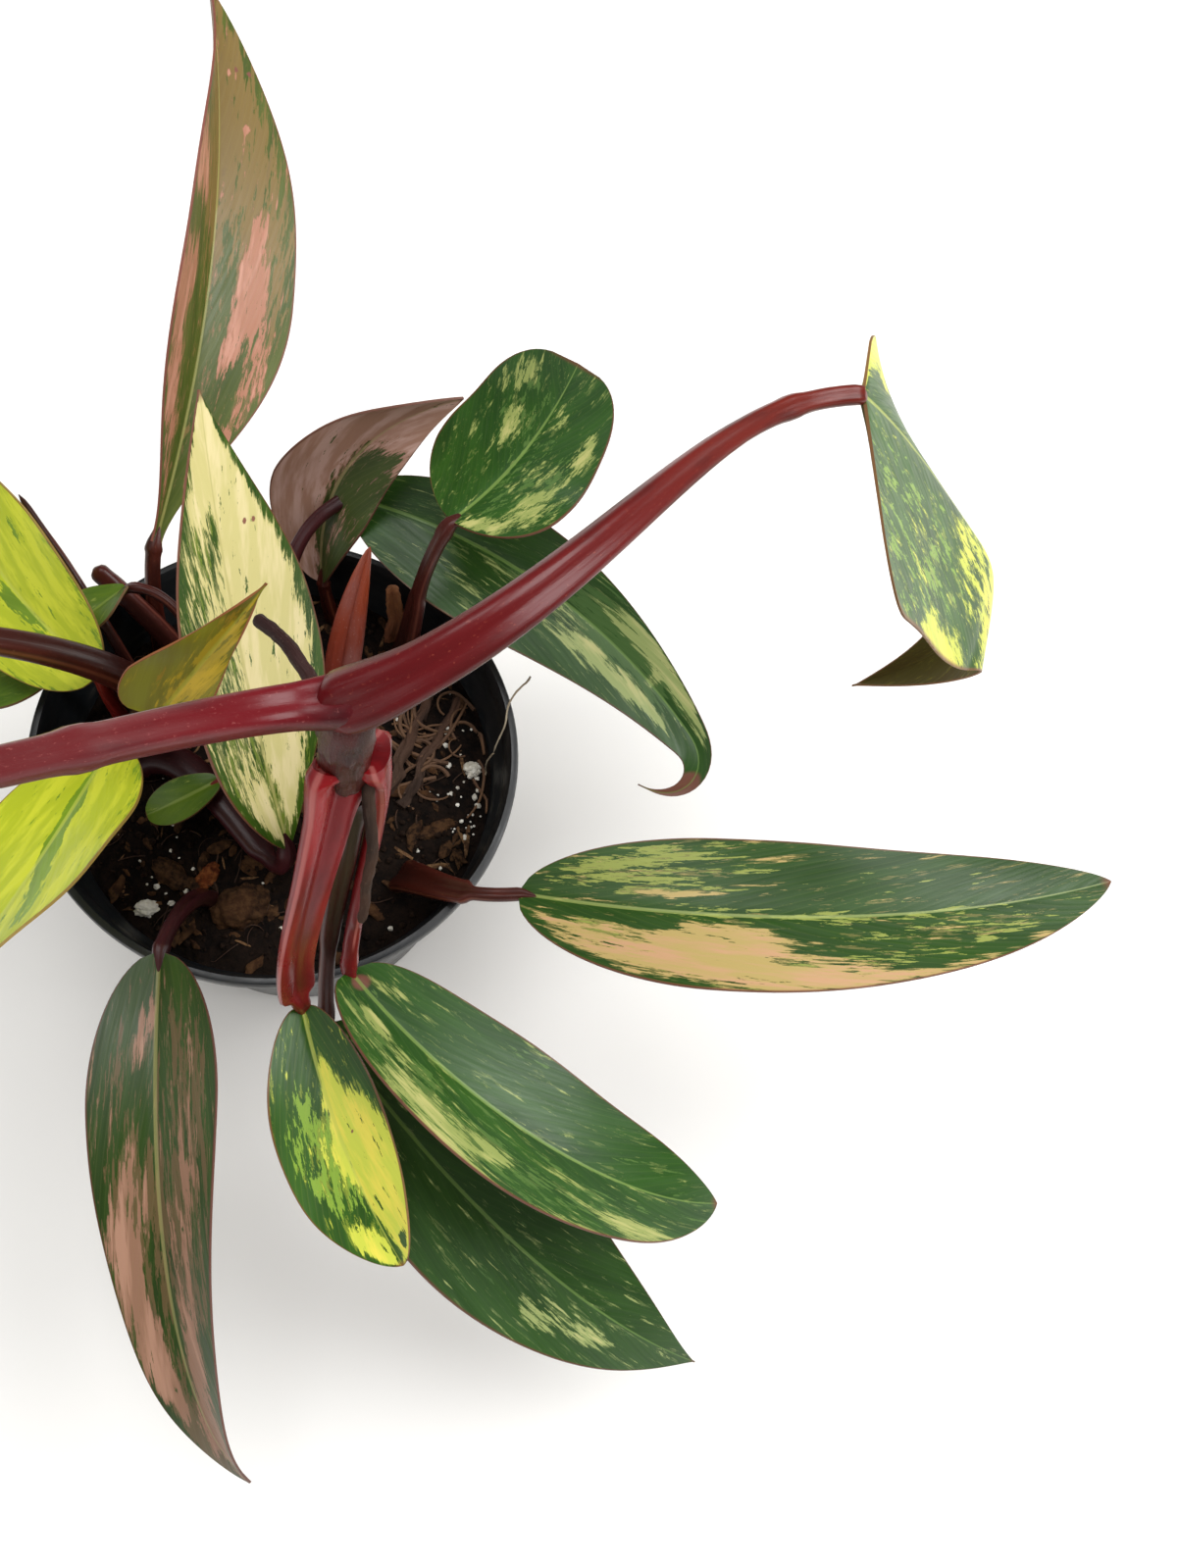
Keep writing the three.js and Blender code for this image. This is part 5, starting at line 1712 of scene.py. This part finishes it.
@dataclass
class Pot:
    """The thin moulded pot with its lip, shoulder band and drain holes, in millimetres."""

    height: float = 96
    lip_radius: float = 60
    lip_height: float = 4
    lip_depth: float = 1.8
    shoulder_radius: float = 57.6
    shoulder_height: float = 10
    body_radius: float = 56.4
    foot_radius: float = 46
    wall: float = 1.2
    floor: float = 2
    holes: int = 8
    hole_radius: float = 4
    hole_circle: float = 34
    sides: int = 160

    def profile(self) -> list[tuple[float, float]]:
        """Give the half section, from the middle of the underside round to the floor inside.

        Returns:
            Radius and height of each corner, in millimetres.
        """
        top, lip = self.height, self.height - self.lip_height
        band = self.height - self.shoulder_height
        foot, body, shoulder, rim = (self.foot_radius, self.body_radius, self.shoulder_radius,
                                     self.lip_radius)
        inner_lip = rim - self.lip_depth
        outside = [
            (0, 0.6), (foot - 7, 0.6), (foot - 6, 0), (foot - 2, 0), (foot - 0.6, 0.6), (foot, 2),
            (foot + 3.05, 28), (body, band - 1), (shoulder, band), (shoulder + 0.3, lip - 2.4),
            (shoulder + 0.6, lip - 0.6), (rim - 0.3, lip - 0.1), (rim, lip + 0.4),
            (rim, top - 0.7), (rim - 0.3, top - 0.15), (rim - 0.9, top),
        ]
        inside = [
            (inner_lip, top - 0.1), (inner_lip - 0.4, top - 0.8),
            (shoulder - self.wall + 0.4, lip), (shoulder - self.wall, band),
            (body - self.wall, band - 1.4), (foot + 1.85, 28), (foot - self.wall, self.floor + 0.6),
            (foot - self.wall - 0.8, self.floor), (0, self.floor),
        ]
        return outside + inside

    def build(self, finishes: Finishes) -> None:
        """Draw the half section, spin it, drill the drain holes and dress it.

        Args:
            finishes: The shelf of materials.
        """
        outline = self.profile()
        deselect_all()
        bpy.ops.mesh.primitive_plane_add(size=0.01)
        pot = bpy.context.object
        pot.name = pot.data.name = "nursery_pot"
        bpy.ops.object.mode_set(mode="EDIT")
        bpy.ops.mesh.merge(type="CENTER")
        bpy.ops.mesh.select_all(action="SELECT")
        start = Vector((outline[0][0], 0.0, outline[0][1])) * MM
        bpy.ops.transform.translate(value=start)
        for (r0, z0), (r1, z1) in zip(outline, outline[1:]):
            step = Vector((r1 - r0, 0.0, z1 - z0)) * MM
            bpy.ops.mesh.extrude_region_move(TRANSFORM_OT_translate={"value": step})
        bpy.ops.mesh.select_all(action="SELECT")
        bpy.ops.mesh.spin(steps=self.sides, angle=FULL_TURN, center=(0, 0, 0), axis=(0, 0, 1))
        bpy.ops.object.mode_set(mode="OBJECT")
        tidy_mesh(pot, fill=False)
        self._drill(pot)
        soft_shading(pot, angle=38)
        finish_piece(pot, [finishes.plain(PotFinish())], "pot_plastic", ["pot"])

    def _drill(self, pot: Piece) -> None:
        """Cut the drain holes through the foot.

        Args:
            pot: The spun shell.
        """
        drills = []
        for k in range(self.holes):
            angle = FULL_TURN * (k + 0.5) / self.holes
            out = self.hole_circle * MM
            deselect_all()
            bpy.ops.mesh.primitive_cylinder_add(
                vertices=24, radius=self.hole_radius * MM, depth=10 * MM,
                location=(out * math.cos(angle), out * math.sin(angle), MM))
            drills.append(bpy.context.object)
        cutter = join_all(drills, "drain_drill")
        apply_modifier(pot, "BOOLEAN", object=cutter, operation="DIFFERENCE", solver="EXACT")
        bpy.data.objects.remove(cutter)


# --------------------------------------------------------------- the soil


@dataclass(frozen=True)
class Grains:
    """Small pieces scattered over the soil, some round spots (x, y, spread), in millimetres."""

    name: str
    count: int
    sizes: tuple[float, float]
    shape: tuple[float, float, float]
    finish: GritFinish
    slot: str
    facets: int
    spots: Sequence[tuple[float, float, float]] = ()


@dataclass(frozen=True)
class Strands:
    """Thin roots in a disc (x, y, radius) of the soil, in millimetres, bent in radians."""

    name: str
    count: int
    disc: tuple[float, float, float]
    lengths: tuple[float, float]
    girths: tuple[float, float]
    bend: float
    finish: StalkFinish


GRAINS: list[Grains] = [
    Grains("soil_crumbs", 1500, (0.35, 1.25), (1.0, 0.85, 0.75), CRUMB, "soil", 1),
    Grains("bark_chips_fine", 230, (0.9, 3.0), (1.5, 0.7, 0.32), BARK, "bark_chip", 2),
    Grains("wood_slivers", 110, (0.8, 2.4), (2.2, 0.32, 0.18), SLIVER, "bark_chip", 1),
    Grains("perlite_grains", 130, (0.35, 1.1), (1.0, 0.9, 0.8), PERLITE, "perlite", 1,
           ((46, 0, 9), (44, 12, 8), (50, -12, 7), (30, 22, 14), (-28, -30, 12))),
]

STRANDS: list[Strands] = [
    Strands("root_fibres", 110, (0.0, 0.0, 48.0), (4, 13), (0.1, 0.3), 1.8, ROOT),
    Strands("curled_roots", 34, (36.0, 14.0, 17.0), (9, 24), (0.3, 0.75), 5.0, PALE_ROOT),
]


@dataclass
class SoilBed:
    """The potting mix: an uneven plug and what lies on it, in millimetres."""

    top: float = 78
    rim_radius: float = 54.2
    foot_radius: float = 44.2
    foot: float = 2.4
    grid: int = 150
    strew_radius: float = 53
    keep_radius: float = 52.6
    lay_radius: float = 52.0
    models: int = 5
    joints: int = 12
    seed: int = 7

    GATHERED = 0.6  # share of the grains that lie at their spots, where there are any
    SMALLER = 2.2  # the higher, the fewer large grains

    def height(self, x: float, y: float) -> float:
        """Give the soil's height at a place, all in millimetres.

        Args:
            x: Place along X.
            y: Place along Y.

        Returns:
            The height.
        """
        place = Vector((x, y, 0.0))
        broad = noise.noise(place / 17) * 1.3
        lumps = noise.noise(place / 5 + UP * 3) * 0.8
        fine = abs(noise.noise(place / 1.9 + UP * 9)) * 0.7
        edge = 0.9 * smooth((math.hypot(x, y) - 46) / 9)
        return self.top + broad + lumps + fine - edge - 0.2

    def build(self, finishes: Finishes) -> None:
        """Build and dress the plug and all that lies on it.

        Args:
            finishes: The shelf of materials.
        """
        self._plug(finishes)
        rng = random.Random(self.seed)
        for grains in GRAINS:
            self._scatter(grains, rng, finishes)
        for strands in STRANDS:
            self._lay(strands, rng, finishes)

    def _plug(self, finishes: Finishes) -> None:
        """Shape a grid into the uneven round top and close it down to the foot.

        Args:
            finishes: The shelf of materials.
        """
        plug = fresh_grid("soil_bed", self.grid, self.grid)
        for vertex in plug.data.vertices:
            x, y = vertex.co.x * 2, vertex.co.y * 2
            u, v = x * math.sqrt(1 - y * y / 2), y * math.sqrt(1 - x * x / 2)
            place = Vector((u, v)) * self.rim_radius
            vertex.co = mm((place.x, place.y, self.height(place.x, place.y)))
        work_on(plug)
        bpy.ops.object.mode_set(mode="EDIT")
        bpy.ops.mesh.select_all(action="DESELECT")
        bpy.ops.mesh.select_non_manifold(extend=False)
        bpy.ops.mesh.extrude_region_move(TRANSFORM_OT_translate={"value": (0, 0, 0)})
        bpy.ops.object.mode_set(mode="OBJECT")
        shrink = self.foot_radius / self.rim_radius
        for vertex in plug.data.vertices:
            if vertex.select:
                vertex.co = (vertex.co.x * shrink, vertex.co.y * shrink, self.foot * MM)
        bpy.ops.object.mode_set(mode="EDIT")
        bpy.ops.mesh.edge_face_add()
        bpy.ops.mesh.select_all(action="SELECT")
        bpy.ops.mesh.normals_make_consistent(inside=False)
        bpy.ops.object.mode_set(mode="OBJECT")
        soft_shading(plug, angle=60)
        finish_piece(plug, [finishes.plain(SOIL_MIX)], "soil", ["soil"])

    def _scatter(self, grains: Grains, rng: random.Random, finishes: Finishes) -> None:
        """Scatter copies of a few rough grains over the soil and join them.

        Args:
            grains: What is scattered.
            rng: Seeded random numbers.
            finishes: The shelf of materials.
        """
        models = [self._grain(f"{grains.name}_{k}", rng, grains.facets) for k in range(self.models)]
        copies = []
        for _ in range(grains.count):
            x, y = self._spot(grains, rng)
            if math.hypot(x, y) > self.keep_radius:
                continue
            smallest, largest = grains.sizes
            size = smallest + (largest - smallest) * rng.random() ** self.SMALLER
            turn = Matrix.Rotation(rng.uniform(0, FULL_TURN), 4, "Z")
            turn = turn @ Matrix.Rotation(rng.uniform(-0.5, 0.5), 4, "X")
            scale = Matrix.Diagonal((*[size * share * MM for share in grains.shape], 1.0))
            lift = self.height(x, y) + size * grains.shape[2] * rng.uniform(0.0, 0.7)
            copy = rng.choice(models).copy()
            copy.data = copy.data.copy()
            copy.data.transform(Matrix.Translation(mm((x, y, lift))) @ turn @ scale)
            bpy.context.collection.objects.link(copy)
            copies.append(copy)
        for model in models:
            bpy.data.objects.remove(model)
        joined = join_all(copies, grains.name)
        soft_shading(joined, angle=35)
        finish_piece(joined, [finishes.plain(grains.finish)], grains.slot)

    def _spot(self, grains: Grains, rng: random.Random) -> tuple[float, float]:
        """Draw a place on the soil for one grain.

        Args:
            grains: What is scattered.
            rng: Seeded random numbers.

        Returns:
            The place in millimetres.
        """
        if grains.spots and rng.random() < self.GATHERED:
            x, y, spread = rng.choice(grains.spots)
            return rng.gauss(x, spread / 2), rng.gauss(y, spread / 2)
        radius, angle = self.strew_radius * math.sqrt(rng.random()), rng.uniform(0, FULL_TURN)
        return radius * math.cos(angle), radius * math.sin(angle)

    @staticmethod
    def _grain(name: str, rng: random.Random, facets: int) -> Piece:
        """Make one rough grain of unit size.

        Args:
            name: Its name.
            rng: Seeded random numbers.
            facets: Fineness of its ball.

        Returns:
            The grain.
        """
        deselect_all()
        bpy.ops.mesh.primitive_ico_sphere_add(subdivisions=facets, radius=1.0)
        grain = bpy.context.object
        grain.name = name
        for vertex in grain.data.vertices:
            vertex.co *= rng.uniform(0.72, 1.2)
        return grain

    def _lay(self, strands: Strands, rng: random.Random, finishes: Finishes) -> None:
        """Lay thin roots over the soil and join them.

        Args:
            strands: What is laid.
            rng: Seeded random numbers.
            finishes: The shelf of materials.
        """
        tubes = []
        centre_x, centre_y, disc_radius = strands.disc
        for k in range(strands.count):
            radius, angle = disc_radius * math.sqrt(rng.random()), rng.uniform(0, FULL_TURN)
            x, y = centre_x + radius * math.cos(angle), centre_y + radius * math.sin(angle)
            heading, reach = rng.uniform(0, FULL_TURN), rng.uniform(*strands.lengths)
            turn = rng.uniform(-strands.bend, strands.bend)
            thin, arch = rng.uniform(*strands.girths), rng.uniform(0.2, 1.2)
            points = []
            for j in range(self.joints):
                u = j / (self.joints - 1)
                direction = heading + turn * (u - 0.5)
                far = max(math.hypot(x, y) / self.lay_radius, 1.0)
                x = x / far + math.cos(direction) * reach / self.joints
                y = y / far + math.sin(direction) * reach / self.joints
                lift = self.height(x, y) + thin * 0.6 + arch * math.sin(math.pi * u)
                points.append(mm((x, y, lift)))
            tubes.append(self._strand(f"{strands.name}_{k}", points, thin * MM))
        finish_piece(join_all(tubes, strands.name), [finishes.plain(strands.finish)], "root")

    @staticmethod
    def _strand(name: str, points: Sequence[Vector], radius: float) -> Piece:
        """Make one thin strand through points.

        Args:
            name: Its name.
            points: Its centre line.
            radius: Its half thickness in metres.

        Returns:
            The strand.
        """
        def place(round_share: float, share: float) -> Vector:
            """Give a point of the strand's surface.

            Args:
                round_share: Share round the strand.
                share: Share along.

            Returns:
                The point in metres.
            """
            spot = share * (len(points) - 1)
            low = min(int(spot), len(points) - 2)
            centre = points[low].lerp(points[low + 1], spot - low)
            tangent = (points[low + 1] - points[low]).normalized()
            side = tangent.cross(UP).normalized()
            up = side.cross(tangent)
            angle = FULL_TURN * round_share
            slim = radius * (1 - 0.5 * share)
            return centre + (side * math.cos(angle) + up * math.sin(angle)) * slim

        return rolled_tube(name, sides=6, rings=14, place=place, girth=2 * MM, length=12 * MM)


@dataclass
class Lump:
    """A larger piece bedded in the soil: centre and half sizes in millimetres, turn in degrees."""

    name: str
    slot: str
    finish: GritFinish
    at: Sequence[float]
    half: Sequence[float]
    turn: float

    def build(self, finishes: Finishes) -> None:
        """Build and dress the lump.

        Args:
            finishes: The shelf of materials.
        """
        deselect_all()
        bpy.ops.mesh.primitive_ico_sphere_add(subdivisions=5, radius=1.0)
        lump = bpy.context.object
        lump.name = lump.data.name = f"fine_{self.name}"
        seed = Vector((self.at[0], self.at[1], 0.0))
        for vertex in lump.data.vertices:
            out = vertex.co.normalized()
            size = 0.92 + 0.22 * noise.noise(out * 1.7 + seed) + 0.1 * noise.noise(out * 4.5 + seed)
            size += 0.04 * noise.noise(out * 13 + seed)
            vertex.co = [out[k] * self.half[k] * size * MM for k in range(3)]
        turn = Matrix.Rotation(math.radians(self.turn), 4, "Z")
        lump.data.transform(Matrix.Translation(mm(self.at)) @ turn)
        soft_shading(lump, angle=50)
        finish_piece(lump, [finishes.plain(self.finish)], self.slot, [self.name])


LUMPS: list[Lump] = [
    Lump("bark_round", "bark_chip", BARK, (-8, -37, 78), (8, 6.5, 4.5), 20),
    Lump("bark_left", "bark_chip", BARK, (-26, -29, 78), (6, 3.2, 2.4), -35),
    Lump("bark_orange", "bark_orange", ORANGE_BARK, (-17, -29, 78), (4, 2.6, 2.4), 60),
    Lump("bark_right", "bark_chip", BARK, (40, -14, 78), (6, 2.6, 2.2), 30),
    Lump("perlite_right", "perlite", PERLITE, (49, 4, 78), (2.6, 2.2, 1.9), 0),
    Lump("perlite_left", "perlite", PERLITE, (-31, -38, 78), (3.2, 2.4, 2), 15),
]


# ------------------------------------------------------------- the studio


@dataclass(frozen=True)
class Lamp:
    """A square soft light: its place and side in metres and its power in watts."""

    name: str
    at: tuple[float, float, float]
    size: float
    power: float


@dataclass
class Studio:
    """Camera at the photograph's angle, pale floor and soft light."""

    camera_at: Sequence[float] = (34.9, -111.6, 378.9)
    right: Sequence[float] = (0.9884, 0.0, 0.1516)
    up: Sequence[float] = (-0.0528, 0.9374, 0.3442)
    back: Sequence[float] = (-0.1421, -0.3482, 0.9266)
    lens: float = 27.04
    film_height: float = 36.0
    lit: Sequence[float] = (0.0, 0.0, 0.1)
    lamps: Sequence[Lamp] = (
        Lamp("window", (0.85, 0.15, 1.1), 0.8, 13.0),
        Lamp("overhead", (-0.12, 0.35, 1.5), 0.7, 7.0),
        Lamp("fill", (-0.9, -0.5, 0.8), 1.0, 3.0),
    )
    air: Colour = (1.0, 0.99, 0.97, 1.0)
    air_strength: float = 0.6
    mirrored_less: float = 0.45
    floor_size: float = 8.0
    floor_drop: float = 0.0004

    def build(self) -> None:
        """Set the camera, the lights, the world, the floor and a plain view of their colours."""
        self._camera()
        for lamp in self.lamps:
            self._light(lamp)
        self._world()
        self._floor()
        bpy.context.scene.view_settings.view_transform = "Standard"

    def _camera(self) -> None:
        """Add the camera."""
        data = bpy.data.cameras.new("camera")
        data.sensor_fit = "VERTICAL"
        data.sensor_height = self.film_height
        data.lens = self.lens
        data.clip_start = 0.005
        camera = bpy.data.objects.new("camera", data)
        axes = Matrix((self.right, self.up, self.back)).transposed().to_4x4()
        camera.matrix_world = Matrix.Translation(mm(self.camera_at)) @ axes
        bpy.context.collection.objects.link(camera)
        bpy.context.scene.camera = camera

    def _light(self, lamp: Lamp) -> None:
        """Add a square area light that looks at the plant.

        Args:
            lamp: The light.
        """
        data = bpy.data.lights.new(lamp.name, "AREA")
        data.shape = "SQUARE"
        data.size = lamp.size
        data.energy = lamp.power
        light = bpy.data.objects.new(lamp.name, data)
        light.location = lamp.at
        towards = Vector(self.lit) - Vector(lamp.at)
        light.rotation_euler = towards.to_track_quat("-Z", "Y").to_euler()
        bpy.context.collection.objects.link(light)

    def _world(self) -> None:
        """Fill the room with soft white light, dimmer where it is only mirrored."""
        world = bpy.data.worlds.new("studio")
        world.use_nodes = True
        background = world.node_tree.nodes["Background"]
        background.inputs["Color"].default_value = self.air
        graph = Graph(world.node_tree)
        rays = graph.node("LightPath")
        mirrored = graph.times(rays.outputs["Is Glossy Ray"], self.mirrored_less)
        strength = graph.math("SUBTRACT", self.air_strength, mirrored)
        graph.feed(background.inputs["Strength"], strength)
        bpy.context.scene.world = world

    def _floor(self) -> None:
        """Lay the pale floor under the pot."""
        deselect_all()
        bpy.ops.mesh.primitive_grid_add(x_subdivisions=4, y_subdivisions=4, size=self.floor_size,
                                        location=(0.0, 0.0, -self.floor_drop))
        floor = bpy.context.object
        floor.name = "floor"
        material, graph, shader = new_material("pale floor")
        tone = graph.noise(graph.node("TexCoord").outputs["Object"], scale=3.0, detail=3.0)
        graph.feed(shader.inputs["Base Color"], graph.mix(tone, srgb("f4f3f0"), srgb("f8f7f5")))
        shader.inputs["Roughness"].default_value = 0.9
        floor.data.materials.append(material)


def main() -> None:
    """Build the studio and the plant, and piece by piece."""
    logging.basicConfig(level=logging.INFO, format="%(name)s: %(message)s")
    random.seed(11)
    noise.seed_set(5)
    Studio().build()
    finishes = Finishes()
    Pot().build(finishes)
    SoilBed().build(finishes)
    for part in (*STEMS, *LEAVES, *SPIKES, *LUMPS):
        part.build(finishes)
    deselect_all()


if __name__ == "__main__":
    main()
